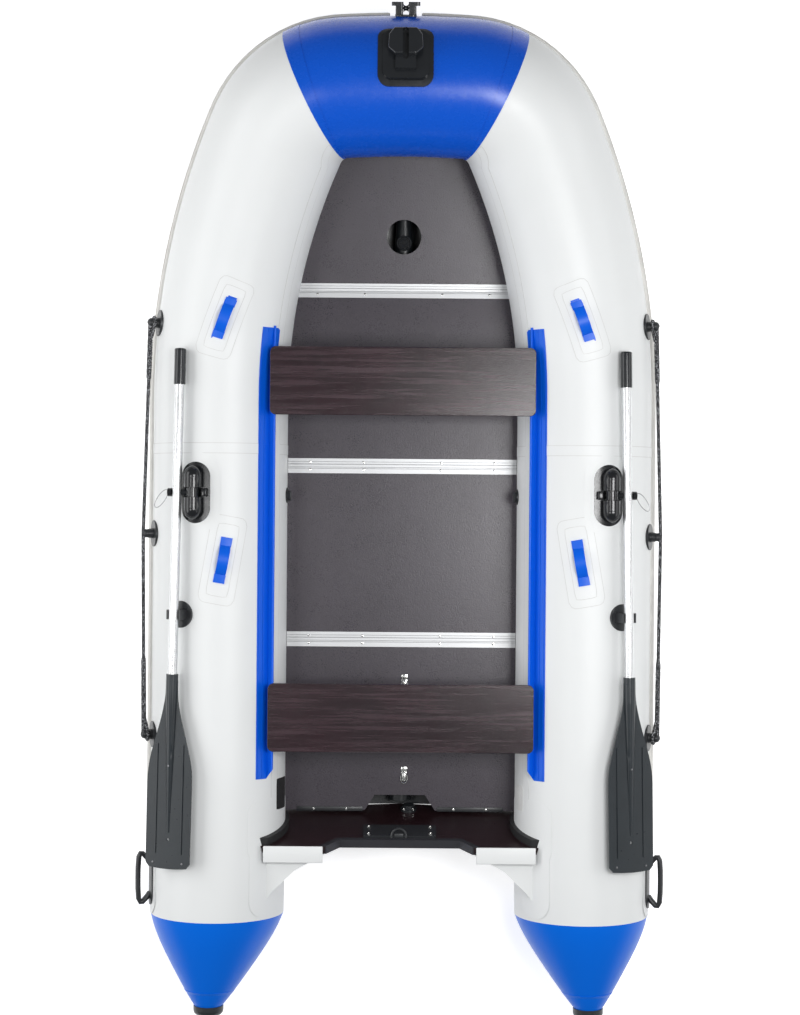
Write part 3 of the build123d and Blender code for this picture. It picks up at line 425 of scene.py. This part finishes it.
# %% The tube's centre line
tube_radius = 0.214
tube_x = 0.582
bow_y = 1.334
bow_rise = 0.235
bow_arc_radius = 3.540
bow_arc_angle = radians(3.14)
corner_radius = 0.240
corner_angle = radians(64.5)
bow_seam_angle = radians(24.5)
stern_seam_y = -1.265
bow_arc_length = bow_arc_radius * bow_arc_angle
corner_end = bow_arc_length + corner_radius * (corner_angle - bow_arc_angle)
bow_seam = bow_arc_length + corner_radius * (bow_seam_angle - bow_arc_angle)
side_arc_x = bow_arc_radius * sin(bow_arc_angle) + corner_radius * (sin(corner_angle) - sin(bow_arc_angle))
side_arc_radius = (tube_x - side_arc_x) / (1 - sin(corner_angle))
straight_from = corner_end + side_arc_radius * (pi / 2 - corner_angle)
corner_top_y = bow_y - bow_arc_radius * (1 - cos(bow_arc_angle))
side_arc_y = corner_top_y - corner_radius * (cos(bow_arc_angle) - cos(corner_angle))
straight_y = side_arc_y - side_arc_radius * cos(corner_angle)


def heading_at(along):
    """Turn of the centre line from straight across at the stem."""
    if along < bow_arc_length:
        return along / bow_arc_radius
    if along < corner_end:
        return bow_arc_angle + (along - bow_arc_length) / corner_radius
    if along < straight_from:
        return corner_angle + (along - corner_end) / side_arc_radius
    return pi / 2


def centre_at(along):
    """Centre of the starboard tube."""
    heading = heading_at(along)
    if along < bow_arc_length:
        x, y = bow_arc_radius * sin(heading), bow_y - bow_arc_radius * (1 - cos(heading))
    elif along < corner_end:
        x = bow_arc_radius * sin(bow_arc_angle) + corner_radius * (sin(heading) - sin(bow_arc_angle))
        y = corner_top_y - corner_radius * (cos(bow_arc_angle) - cos(heading))
    elif along < straight_from:
        x, y = tube_x - side_arc_radius * (1 - sin(heading)), straight_y + side_arc_radius * cos(heading)
    else:
        x, y = tube_x, straight_y - (along - straight_from)
    share = max(0.0, (y - straight_y) / (bow_y - straight_y))
    return Vector((x, y, tube_radius + bow_rise * share**2))


def along_at(y):
    """Length along the centre line at which the side of the tube reaches y."""
    if y <= straight_y:
        return straight_from + straight_y - y
    return straight_from - side_arc_radius * asin((y - straight_y) / side_arc_radius)


def on_tube(along, angle, lift=0.0):
    """Point over the starboard tube's surface."""
    heading = heading_at(along)
    ahead = (centre_at(max(along - 0.001, 0)) - centre_at(along + 0.001)).normalized()
    outboard = Vector((sin(heading), cos(heading), 0))
    upward = outboard.cross(ahead).normalized()
    upward = upward if upward.z > 0 else -upward
    reach = tube_radius + lift
    return centre_at(along) + (outboard * cos(radians(angle)) + upward * sin(radians(angle))) * reach


print("straight run starts at y =", round(straight_y, 3))

# %% [markdown]
# ## Pieces as a maker adds them
# Each piece starts as a primitive or as a curve through points, and ends as a mesh whose object sits at the
# origin. Tapes and patches start as a grid that is laid over the tube and then thickened; their corners are
# rounded by pulling the grid's square corners in to an arc.

# %% Helpers that finish a piece


def round_turns(count):
    """Angles of points spread evenly round a circle."""
    return [2 * pi * i / count for i in range(count)]


def active(name):
    """The object just added, under its own name."""
    piece = bpy.context.object
    piece.name = name
    piece.data.name = name
    return piece


def select_only(piece):
    """Selects one object and makes it the active one."""
    bpy.ops.object.select_all(action="DESELECT")
    piece.select_set(True)
    bpy.context.view_layer.objects.active = piece


def apply_place(piece):
    """Moves the piece's place, turn and size into its mesh, so that its object sits at the origin."""
    select_only(piece)
    bpy.ops.object.transform_apply(location=True, rotation=True, scale=True)


def apply_modifier(piece, kind, **settings):
    """Adds one modifier and applies it."""
    select_only(piece)
    modifier = piece.modifiers.new(kind.lower(), kind)
    for name, value in settings.items():
        setattr(modifier, name, value)
    bpy.ops.object.modifier_apply(modifier=modifier.name)


def join_pieces(pieces, name):
    """Joins pieces into one object."""
    bpy.ops.object.select_all(action="DESELECT")
    for piece in pieces:
        piece.select_set(True)
    bpy.context.view_layer.objects.active = pieces[0]
    bpy.ops.object.join()
    return active(name)


def settle(piece, body, finish, smooth=30):
    """Applies the piece's place, gives it its finish and lets it ride on a body."""
    apply_place(piece)
    bpy.ops.object.shade_smooth_by_angle(angle=radians(smooth))
    piece.data.materials.clear()
    piece.data.materials.append(finish.material)
    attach(piece, body)
    return piece


def port_twin(piece):
    """A mirrored copy, with its own mesh and its faces turned the right way out."""
    twin = piece.copy()
    twin.data = piece.data.copy()
    bpy.context.scene.collection.objects.link(twin)
    for corner in twin.data.vertices:
        corner.co.x = -corner.co.x
    twin.data.flip_normals()
    return twin


def both_sides(piece, name, body, finish, smooth=30):
    """Joins a starboard piece with its port twin and settles it."""
    return settle(join_pieces([piece, port_twin(piece)], name), body, finish, smooth)


def rounded_square(u, v, corner_u, corner_v):
    """Pulls a square's corner region in to a quarter circle; u and v run from -1 to 1."""
    over_u, over_v = (abs(u) - 1 + corner_u) / corner_u, (abs(v) - 1 + corner_v) / corner_v
    if over_u <= 0 or over_v <= 0:
        return u, v
    new_u = over_u * sqrt(1 - over_v**2 / 2)
    new_v = over_v * sqrt(1 - over_u**2 / 2)
    sign_u, sign_v = (1 if u > 0 else -1), (1 if v > 0 else -1)
    return (1 - corner_u + new_u * corner_u) * sign_u, (1 - corner_v + new_v * corner_v) * sign_v


row_step, column_step = 0.02, 0.014
sheet_gap = 0.0003


def wrapped(
    name, along, angle, length, width, corner=0.0, turn=0, thick=0.0009, lift=0.0, rows=None, columns=None
):
    """Sheet laid on the starboard tube: length runs along the tube, width round it."""
    rows = rows or max(4, int(length / row_step))
    columns = columns or max(4, int(width / column_step))
    bpy.ops.mesh.primitive_grid_add(x_subdivisions=rows, y_subdivisions=columns, size=2)
    sheet = active(name)
    turned = radians(turn)
    for point in sheet.data.vertices:
        u, v = point.co.x, point.co.y
        if corner:
            u, v = rounded_square(u, v, 2 * corner / length, 2 * corner / width)
        x, y = u * length / 2, v * width / 2
        x, y = x * cos(turned) - y * sin(turned), x * sin(turned) + y * cos(turned)
        point.co = on_tube(along - x, angle + degrees(y / tube_radius), lift + sheet_gap)
    bpy.ops.object.mode_set(mode="EDIT")
    bpy.ops.mesh.select_all(action="SELECT")
    bpy.ops.mesh.normals_make_consistent(inside=False)
    bpy.ops.object.mode_set(mode="OBJECT")
    centre = centre_at(along)
    face = sheet.data.polygons[len(sheet.data.polygons) // 2]
    if face.normal.dot(face.center - centre) < 0:
        sheet.data.flip_normals()
    apply_modifier(sheet, "SOLIDIFY", thickness=thick, offset=1.0)
    return sheet


# %% [markdown]
# ## Seam tapes
# The panels are joined with tapes. Rings of tape cover the joints of the coloured bow and of the air
# chambers, and a long tape runs inside each tube. Where a tape or a patch is white, a fine grey line of glue
# shows round its edge.

# %% Tapes round and along the tubes
tape_width = 0.030
glue_margin = 0.0017
glue_edges = []


def glued(name, along, angle, length, width, corner=0.0, **shape):
    """Glued-on fabric with the fine grey line of glue that shows round its edge."""
    line_length, line_width = length + 2 * glue_margin, width + 2 * glue_margin
    line_corner = corner + glue_margin if corner else 0.0
    line_shape = {**shape, "thick": 0.0004}
    glue_edges.append(wrapped(f"{name}_glue", along, angle, line_length, line_width, line_corner, **line_shape))
    return wrapped(name, along, angle, length, width, corner, **shape)


around = 2 * pi * tube_radius
chamber_tape = glued("chamber_tape", along_at(0.213), 0, tape_width, around, thick=0.0008, rows=2, columns=72)
both_sides(chamber_tape, "chamber_tapes", "hull", white_skin)
bow_tape = wrapped("bow_tape", bow_seam - 0.014, 0, 0.028, around, thick=0.0012, rows=2, columns=72)
both_sides(bow_tape, "bow_seam_tapes", "hull", blue_skin)
inner_tape_from = bow_seam + 0.01
inner_tape_to = along_at(-1.13)
inner_tape = glued(
    "inner_tape", (inner_tape_from + inner_tape_to) / 2, 150, inner_tape_to - inner_tape_from, 0.032,
    thick=0.0007, rows=110, columns=3,
)
both_sides(inner_tape, "inner_tapes", "hull", white_skin)

# %% [markdown]
# ## Doubler patches
# Every fitting that pulls on a tube is glued to a patch of the same fabric, which spreads the load. The
# patches are only a millimetre thick, so they read as faint outlines on the white.

# %% Patches under straps, eyes, oarlocks and handles
strap_places = ((0.645, 93, 12.5), (-0.136, 97, 10))
strap_end_reach = 0.0585
patch_thick = 0.0011
strap_patches = []
strap_ends = []
for i, (y, angle, turn) in enumerate(strap_places):
    along = along_at(y)
    shape = {"turn": turn, "thick": patch_thick}
    strap_patches.append(glued(f"strap_patch_{i}", along, angle, 0.275, 0.112, 0.022, **shape))
    strap_patches.append(glued(f"strap_base_{i}", along, angle, 0.225, 0.066, 0.008, lift=patch_thick, **shape))
    for way in (1, -1):
        off = way * strap_end_reach
        end_along = along - off * cos(radians(turn))
        end_angle = angle + degrees(off * sin(radians(turn)) / tube_radius)
        shape = {"turn": turn, "thick": 0.0050, "lift": 0.0018}
        strap_ends.append(wrapped(f"strap_end_{i}", end_along, end_angle, 0.027, 0.0348, **shape))
both_sides(join_pieces(strap_patches, "strap_patches"), "strap_patches", "hull", white_skin)
both_sides(join_pieces(strap_ends, "strap_ends"), "strap_ends", "hull", rail_skin)
load_patches = [
    wrapped("lock_patch", along_at(0.074), 74.5, 0.25, 0.15, corner=0.07),
    wrapped("handle_patch", along_at(-1.150), 14, 0.225, 0.11, corner=0.05),
    wrapped("gusset_patch", along_at(-1.135), 138, 0.24, 0.12, corner=0.05),
    wrapped("holder_patch", along_at(-0.985), 152, 0.20, 0.24, corner=0.05),
]
both_sides(join_pieces(load_patches, "load_patches"), "load_patches", "hull", white_skin)
both_sides(join_pieces(glue_edges, "glue_edges"), "glue_edges", "hull", glue_line)

# %% [markdown]
# ## Beads on the rubbing strake
# The strake is an extrusion with a raised bead near each edge, which keeps a quay off the fabric.

# %% Two beads along each strake
strake_from, strake_to = 0.05, along_at(-1.03)
strake_middle, strake_length = (strake_from + strake_to) / 2, strake_to - strake_from
bead_angle = degrees(0.0065 / tube_radius)
bead_shape = {"thick": 0.0016, "lift": 0.0118, "rows": 120, "columns": 2}
beads = [
    wrapped(f"bead_{i}", strake_middle, side * bead_angle, strake_length, 0.003, **bead_shape)
    for i, side in enumerate((1, -1))
]
both_sides(join_pieces(beads, "strake_beads"), "strake_beads", "hull", strake_rubber)

# %% [markdown]
# ## Rivets and screws
# Fasteners repeat, so one function makes every head, each with few faces. A head is a short cylinder whose
# top edge is bevelled until it is domed. A screw's top is also sunk in the middle.

# %% Fastener heads on the joiners and the transom


def head(name, radius, height, place, normal=(0, 0, 1), sunk=False):
    """Domed head that stands on a surface."""
    bpy.ops.mesh.primitive_cylinder_add(vertices=16, radius=radius, depth=height)
    piece = active(name)
    bpy.ops.object.mode_set(mode="EDIT")
    mesh = bmesh.from_edit_mesh(piece.data)
    for face in mesh.faces:
        face.select = face.normal.z > 0.9
    mesh.select_flush_mode()
    bpy.ops.mesh.bevel(offset=height * 0.55, segments=3)
    if sunk:
        bpy.ops.mesh.select_all(action="DESELECT")
        mesh = bmesh.from_edit_mesh(piece.data)
        for face in mesh.faces:
            face.select = face.normal.z > 0.99
        bpy.ops.mesh.inset(thickness=radius * 0.28)
        bpy.ops.mesh.extrude_region_move(TRANSFORM_OT_translate={"value": (0, 0, -height * 0.3)})
    bpy.ops.object.mode_set(mode="OBJECT")
    piece.location = Vector(place) + Vector(normal) * height * 0.45
    piece.rotation_euler = Vector(normal).to_track_quat("Z", "Y").to_euler()
    apply_place(piece)
    return piece


floor_z = 0.105
joiner_top = floor_z + 0.0026
rivet_row = 0.012
rivet_places = [
    (x, y + rivet_row * side)
    for y in joiner_y[1:]
    for x in (-0.30, -0.126, 0.126, 0.30)
    for side in (1, -1)
]
rivet_places += [(x, joiner_y[0] - rivet_row) for x in (-0.28, -0.126, 0.126, 0.28)]
rivets = [head("rivet", 0.0042, 0.0022, (x, y, joiner_top)) for x, y in rivet_places]
settle(join_pieces(rivets, "joiner_rivets"), "hull", plated_steel)

rake = radians(13.5)
transom_foot = Vector((0, -0.966, floor_z))
up_transom = Vector((0, -sin(rake), cos(rake)))
fore_normal = Vector((0, cos(rake), sin(rake)))


def on_transom(x, z, out=0.0):
    """Point on the transom's forward face at height z, out in front of it."""
    return transom_foot + Vector((x, 0, 0)) + up_transom * ((z - floor_z) / cos(rake)) + fore_normal * out


inner_out, outer_out = 0.008, -0.030
drain_x, drain_z, drain_ring = 0.029, 0.072, 0.021
screws = [
    head("screw", 0.006, 0.003, on_transom(x, z, inner_out), fore_normal, sunk=True)
    for x in (-0.098, 0.098)
    for z in (0.232, 0.288)
]
screws += [
    head("screw", 0.006, 0.003, on_transom(x, z, outer_out), -fore_normal, sunk=True)
    for x in (-0.09, 0.09)
    for z in (0.185, 0.288)
]
for turn in (0.8, 2.37, 3.94, 5.5):
    place = on_transom(drain_x + drain_ring * cos(turn), drain_z + drain_ring * sin(turn), inner_out)
    screws.append(head("screw", 0.0055, 0.003, place, fore_normal, sunk=True))
settle(join_pieces(screws, "transom_screws"), "hull", plated_steel)

# %% [markdown]
# ## Latches on the aft board
# Two small draw latches stand on the centre line of the aft board. Each is a plate, a hinge, a lever and a
# wire bail.

# %% Draw latches on the centre line


def rounded_box(name, size, place, bevel, segments=3):
    """Box with rounded edges, its middle at place."""
    bpy.ops.mesh.primitive_cube_add(size=1, location=place)
    box = active(name)
    box.scale = size
    apply_place(box)
    bpy.ops.object.mode_set(mode="EDIT")
    bpy.ops.mesh.select_all(action="SELECT")
    bpy.ops.mesh.bevel(offset=bevel, segments=segments, affect="EDGES")
    bpy.ops.object.mode_set(mode="OBJECT")
    return box


def strands(name, lines, radius, closed=False, roundness=3):
    """Round wires or yarns through lists of points; a fourth number in a point scales its thickness."""
    curve = bpy.data.curves.new(name, "CURVE")
    curve.dimensions = "3D"
    for line in lines:
        spline = curve.splines.new("POLY")
        spline.points.add(len(line) - 1)
        for point, place in zip(spline.points, line):
            point.co = (*place[:3], 1)
            point.radius = place[3] if len(place) > 3 else 1
        spline.use_cyclic_u = closed
    curve.bevel_depth = radius
    curve.bevel_resolution = roundness
    curve.use_fill_caps = True
    piece = bpy.data.objects.new(name, curve)
    bpy.context.scene.collection.objects.link(piece)
    select_only(piece)
    bpy.ops.object.convert(target="MESH")
    return active(name)


def wire(name, points, radius, closed=False):
    """One bent round wire through points."""
    return strands(name, [points], radius, closed)


latch_x = 0.013
latch_boxes = (
    ("latch_plate", (0.019, 0.018, 0.0016), 0.018, 0.0008, 0.0006, 2),
    ("latch_hinge", (0.021, 0.007, 0.006), 0.008, 0.0035, 0.0022, 3),
    ("latch_lever", (0.011, 0.026, 0.004), -0.006, 0.0055, 0.0014, 3),
)
bail_half_width, bail_half_length, bail_z = 0.0105, 0.0165, floor_z + 0.0052
latch_parts = []
for latch_y in (-0.8395, -0.5385):
    for name, size, ahead, up, bevel, segments in latch_boxes:
        latch_parts.append(rounded_box(name, size, (latch_x, latch_y + ahead, floor_z + up), bevel, segments))
    bail = [
        (latch_x + bail_half_width * cos(turn), latch_y - 0.010 + bail_half_length * sin(turn), bail_z)
        for turn in round_turns(24)
    ]
    latch_parts.append(wire("latch_bail", bail, 0.0019, closed=True))
    for x in (-0.0055, 0.0055):
        place = (latch_x + x, latch_y + 0.021, floor_z + 0.0016)
        latch_parts.append(head("latch_screw", 0.0026, 0.0018, place, sunk=True))
settle(join_pieces(latch_parts, "floor_latches"), "hull", plated_steel)

# %% [markdown]
# ## End profiles of the aft board
# Two black channels close the board's aft edge on both sides of the drain cut-out.

# %% Channels and rivets on the aft edge
end_y = -0.9500
ends = [
    rounded_box("end_profile", (0.215, 0.015, 0.0165), (side * 0.228, end_y, floor_z - 0.006), 0.0015, 2)
    for side in (-1, 1)
]
settle(join_pieces(ends, "floor_end_profiles"), "hull", black_moulding)
end_rivets = [
    head("end_rivet", 0.004, 0.002, (x, end_y, floor_z + 0.0022))
    for x in (-0.28, -0.175, 0.175, 0.28)
]
settle(join_pieces(end_rivets, "end_rivets"), "hull", plated_steel)

# %% [markdown]
# ## Split rings on the oarlock pins
# A spring wire ring keeps each knob from working off. It hangs outboard of the knob and rides with the oar.

# %% Wire rings
oar_pin = Vector((0.699, 0.074, 0.433))
ring_half_length, ring_half_width = 0.034, 0.013
ring_turn = 0.9
lean = radians(-15.7)
ring_centre = oar_pin + Vector((0.020 * cos(lean), -0.020, 0.020 * sin(lean)))
for side, body in ((1, "oar_starboard"), (-1, "oar_port")):
    turned = []
    for turn in round_turns(28):
        x, y = ring_half_length * cos(turn), ring_half_width * sin(turn)
        out = x * cos(ring_turn) - y * sin(ring_turn)
        ahead = -x * sin(ring_turn) - y * cos(ring_turn)
        ring_x = side * (ring_centre.x + 0.030 + out * 0.9)
        turned.append((ring_x, ring_centre.y + ahead, ring_centre.z - 0.004 - out * 0.25))
    ring = wire(f"pin_ring_{body}", turned, 0.0009, closed=True)
    settle(ring, body, ring_wire)

# %% [markdown]
# ## Stern handles
# Each handle is a soft moulded grip that bridges its glued base like a flat D. The CAD part fills more of the
# window than the real one, so a slimmer grip made of two round bars side by side stands for it here.

# %% Base and grip of the handles
handle_along, handle_angle = along_at(-1.150), 14
grip_shape = (
    (-0.048, 0.003), (-0.062, 0.013), (-0.076, 0.026), (-0.077, 0.034), (-0.066, 0.039), (-0.035, 0.041),
    (0, 0.0415),
    (0.035, 0.041), (0.066, 0.039), (0.077, 0.034), (0.076, 0.026), (0.062, 0.013), (0.048, 0.003),
)
grip_bars = [
    [on_tube(handle_along + offset, handle_angle + tilt, reach) for offset, reach in grip_shape]
    for tilt in (-1.3, 1.3)
]
handle_base = wrapped(
    "handle_base", handle_along, handle_angle, 0.170, 0.074, corner=0.034, thick=0.005, columns=12
)
handle_grip = strands("handle_grip", grip_bars, 0.0080)
handle = join_pieces([handle_base, handle_grip], "handles")
handles = both_sides(handle, "handles", "hull", black_moulding, 50)
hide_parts("stern_handles")

# %% [markdown]
# ## Rims of the keel valve
# The keel's valve shows through the hole in the bow board: a screw cap with two raised rims.

# %% Two rims on the valve's cap
valve_low, valve_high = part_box("keel_valve")
valve_middle = (valve_low + valve_high) / 2
valve_radius = (valve_high.x - valve_low.x) / 2


def level_circle(centre, radius, z):
    """Points of a level circle."""
    return [(centre.x + radius * cos(turn), centre.y + radius * sin(turn), z) for turn in round_turns(40)]


rim_z = valve_high.z + 0.0008
valve_rims = [
    wire("valve_rim", level_circle(valve_middle, valve_radius * share, rim_z), 0.0024, closed=True)
    for share in (0.42, 0.86)
]
settle(join_pieces(valve_rims, "keel_valve_rims"), "hull", grip_moulding)
print("keel valve radius:", round(valve_radius, 3))

# %% [markdown]
# ## Braided lifelines
# A black rope with pale flecks runs through three eyes on each side. It is braided from eight yarns, four
# turning each way and passing over and under one another, and its ends are spliced back on themselves, which
# makes it thicker there. The yarns are drawn as thin round lines on crossing helices. The rope is pulled
# tight, so it is straight from eye to eye, and at both ends it loops round the eye's stub.

# %% Yarns, splices and end loops
eye_y = (0.594, -0.056, -0.693)
eye_angle, eye_lifts = 18, (0.029, 0.036, 0.029)
rope_points = [on_tube(along_at(y), eye_angle, lift) for y, lift in zip(eye_y, eye_lifts)]
yarn_turn = 0.026
fore_splice, aft_splice = 0.165, 0.245
yarn_step = 0.0023


def splice_at(y):
    """How thick the rope is at y, as a share of its plain thickness."""
    fore = min(1, max(0, (y - (eye_y[0] - fore_splice)) / 0.012))
    aft = min(1, max(0, ((eye_y[2] + aft_splice) - y) / 0.012))
    return 1 + 0.38 * max(fore, aft)


def yarn(number):
    """One yarn's points along the whole rope."""
    way = 1 if number % 2 else -1
    line = []
    run = 0.0
    for start, end in zip(rope_points, rope_points[1:]):
        length = (end - start).length
        ahead = (end - start) / length
        side = ahead.cross(Vector((0, 0, 1))).normalized()
        up = side.cross(ahead)
        steps = int(length / yarn_step)
        for step in range(steps + 1):
            point = start.lerp(end, step / steps)
            turn = 2 * pi * (run + length * step / steps) / yarn_turn
            thick = splice_at(point.y)
            reach = (0.0038 + 0.0007 * way * cos(4 * turn)) * thick
            angle = way * turn + (number // 2) * pi / 2
            line.append((*(point + side * cos(angle) * reach + up * sin(angle) * reach), thick))
        run += length
    return line


stub_reach, loop_reach = 0.0175, 0.048


def end_loop(eye):
    """Loop of rope round an eye's stub, drawn out towards the rope."""
    along = along_at(eye)
    foot, top = on_tube(along, eye_angle, 0.0), on_tube(along, eye_angle, 0.030)
    outward = (top - foot).normalized()
    ahead = (rope_points[1] - on_tube(along, eye_angle, eye_lifts[0])).normalized()
    across = outward.cross(ahead)
    line = []
    for turn in round_turns(36):
        back = -cos(turn)
        reach = stub_reach * back if back < 0 else loop_reach * back
        width = stub_reach * sin(turn) * (1 if back < 0 else (1 - back) ** 0.35)
        line.append(foot + outward * (0.018 + 0.007 * max(0, back)) + ahead * reach + across * width)
    return line


yarns = strands("yarns", [yarn(number) for number in range(8)], 0.0022, roundness=0)
loops = strands("loops", [end_loop(eye_y[0]), end_loop(eye_y[2])], 0.0052, closed=True, roundness=2)
lifeline = join_pieces([yarns, loops], "lifelines")
lifelines = both_sides(lifeline, "lifelines", "hull", rope_yarn, 60)
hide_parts("lifeline_port", "lifeline_starboard")
print("rope faces:", len(lifelines.data.polygons))

# %% [markdown]
# ## Ridges on the rails
# The strip that carries each bead has two fine raised lines where its layers are welded together.

# %% Raised lines along the blue strips
ridge_from, ridge_to = along_at(0.628), along_at(-0.820)
ridge_shape = {"thick": 0.0013, "lift": 0.0021, "rows": 130, "columns": 2}
ridges = [
    wrapped(f"ridge_{i}", (ridge_from + ridge_to) / 2, angle, ridge_to - ridge_from, 0.0034, **ridge_shape)
    for i, angle in enumerate((129.3, 133.6))
]
both_sides(join_pieces(ridges, "rail_ridges"), "rail_ridges", "hull", rail_skin)

# %% [markdown]
# ## Seams of the stern cones
# The last part of each cone is a separate panel, joined by a narrow tape.

# %% A short conical band on each cone
band_y = -1.511
cone_length = 0.291
cone_from, cone_to_tip = 0.212, 0.167
band_slope, band_thick = 0.0043, 0.0012
share = (stern_seam_y - band_y) / cone_length
band_radius = cone_from - cone_to_tip * share**1.27 + band_thick
bpy.ops.mesh.primitive_cone_add(
    vertices=72, radius1=band_radius - band_slope, radius2=band_radius + band_slope, depth=0.012,
    end_fill_type="NOTHING",
)
cone_band = active("cone_band")
apply_modifier(cone_band, "SOLIDIFY", thickness=band_thick, offset=-1.0)
cone_band.rotation_euler = (radians(-90), 0, 0)
cone_band.location = (tube_x + 0.022 * share, band_y, tube_radius + 0.045 * share**1.5)
apply_place(cone_band)
both_sides(cone_band, "cone_bands", "hull", cone_skin)

# %% [markdown]
# ## Hems, bare plates and the motor's safety eye
# The white gussets are folded over behind the transom's shoulders. Two thin plates inside the stern are left
# bare, and a moulded half ring on the transom takes the motor's safety line.

# %% Fabric hems behind the shoulders
hem = rounded_box("hem", (0.186, 0.052, 0.007), (0.3330, -1.0550, 0.3850), 0.0030)
both_sides(hem, "gusset_hems", "hull", white_skin)

# %% Bare plates on the inner sides of the tubes
plate_shape = {"corner": 0.004, "thick": 0.0008, "lift": 0.0008}
dark_plate = port_twin(wrapped("dark_plate", along_at(-0.877), 164, 0.098, 0.080, **plate_shape))
bpy.data.objects.remove(bpy.data.objects["dark_plate"])
settle(dark_plate, "hull", holder_rubber)
pale_plate = wrapped("pale_plate", along_at(-0.885), 163, 0.080, 0.070, **plate_shape)
settle(pale_plate, "hull", cap_white)

# %% Half ring for the safety line
eye_place = on_transom(-0.002, 0.304, 0.006)
half_turns = [pi * i / 18 for i in range(19)]
half_ring = [eye_place + Vector((0.023 * cos(turn), 0.024 * sin(turn), 0)) for turn in half_turns]
ring_foot = Vector((0, -0.006, 0))
half_ring = [half_ring[0] + ring_foot] + half_ring + [half_ring[-1] + ring_foot]
ring_piece = wire("half_ring", half_ring, 0.0042)
ring_seat = rounded_box("ring_seat", (0.030, 0.016, 0.012), eye_place + Vector((0, 0.002, -0.004)), 0.003)
settle(join_pieces([ring_piece, ring_seat], "safety_eye"), "hull", black_moulding)

# %% [markdown]
# ## Blade studs
# Each blade carries two small studs near its tip and a rivet on the rib, where the shaft ends inside it.

# %% Studs and rivet of both blades
yaw, roll = radians(1.0), radians(20)
oar_ahead = Vector((-sin(yaw), cos(yaw), 0))
blade_side = Vector((cos(yaw) * cos(roll), sin(yaw) * cos(roll), -sin(roll)))
blade_up = blade_side.cross(oar_ahead)
stud_places = ((1.150, -0.050, 0.0022), (1.150, 0.050, 0.0022), (0.848, 0.0, 0.0105))
for side, body in ((1, "oar_starboard"), (-1, "oar_port")):
    studs = []
    normal = (side * blade_up.x, blade_up.y, blade_up.z)
    for reach, across, lift in stud_places:
        place = oar_pin - oar_ahead * reach + blade_side * across + blade_up * lift
        studs.append(head("stud", 0.0034, 0.0018, (side * place.x, place.y, place.z), normal))
    settle(join_pieces(studs, f"blade_studs_{body}"), body, ring_wire)

# %% [markdown]
# ## Oarlock pockets
# The half-barrels of each oarlock have a long pocket on their inner side, drawn here by its raised rim, and a
# square lug stands beside the oar's swivel.

# %% Rims and lugs
lock_lean = radians(16.4)
lock_up = Vector((sin(lock_lean), 0, cos(lock_lean)))
lock_in = Vector((-cos(lock_lean), 0, sin(lock_lean)))
barrel = Vector((tube_x, 0.074, tube_radius)) + lock_up * 0.241
lock_parts = []
for way in (1, -1):
    middle = barrel + Vector((0, way * 0.040, 0))
    rim = []
    for turn in round_turns(28):
        y = 0.019 * cos(turn) * (1.0 if abs(cos(turn)) < 0.9 else 0.97)
        lean = radians(50) + radians(12) * sin(turn)
        rim.append(middle + Vector((0, y, 0)) + (lock_up * cos(lean) + lock_in * sin(lean)) * 0.0268)
    lock_parts.append(wire("pocket_rim", rim, 0.0012, closed=True))
lug_place = barrel + lock_in * 0.033 - lock_up * 0.014
lock_parts.append(rounded_box("lug", (0.016, 0.026, 0.016), lug_place, 0.003))
lock_details = join_pieces(lock_parts, "oarlock_details")
both_sides(lock_details, "oarlock_details", "hull", gloss_moulding)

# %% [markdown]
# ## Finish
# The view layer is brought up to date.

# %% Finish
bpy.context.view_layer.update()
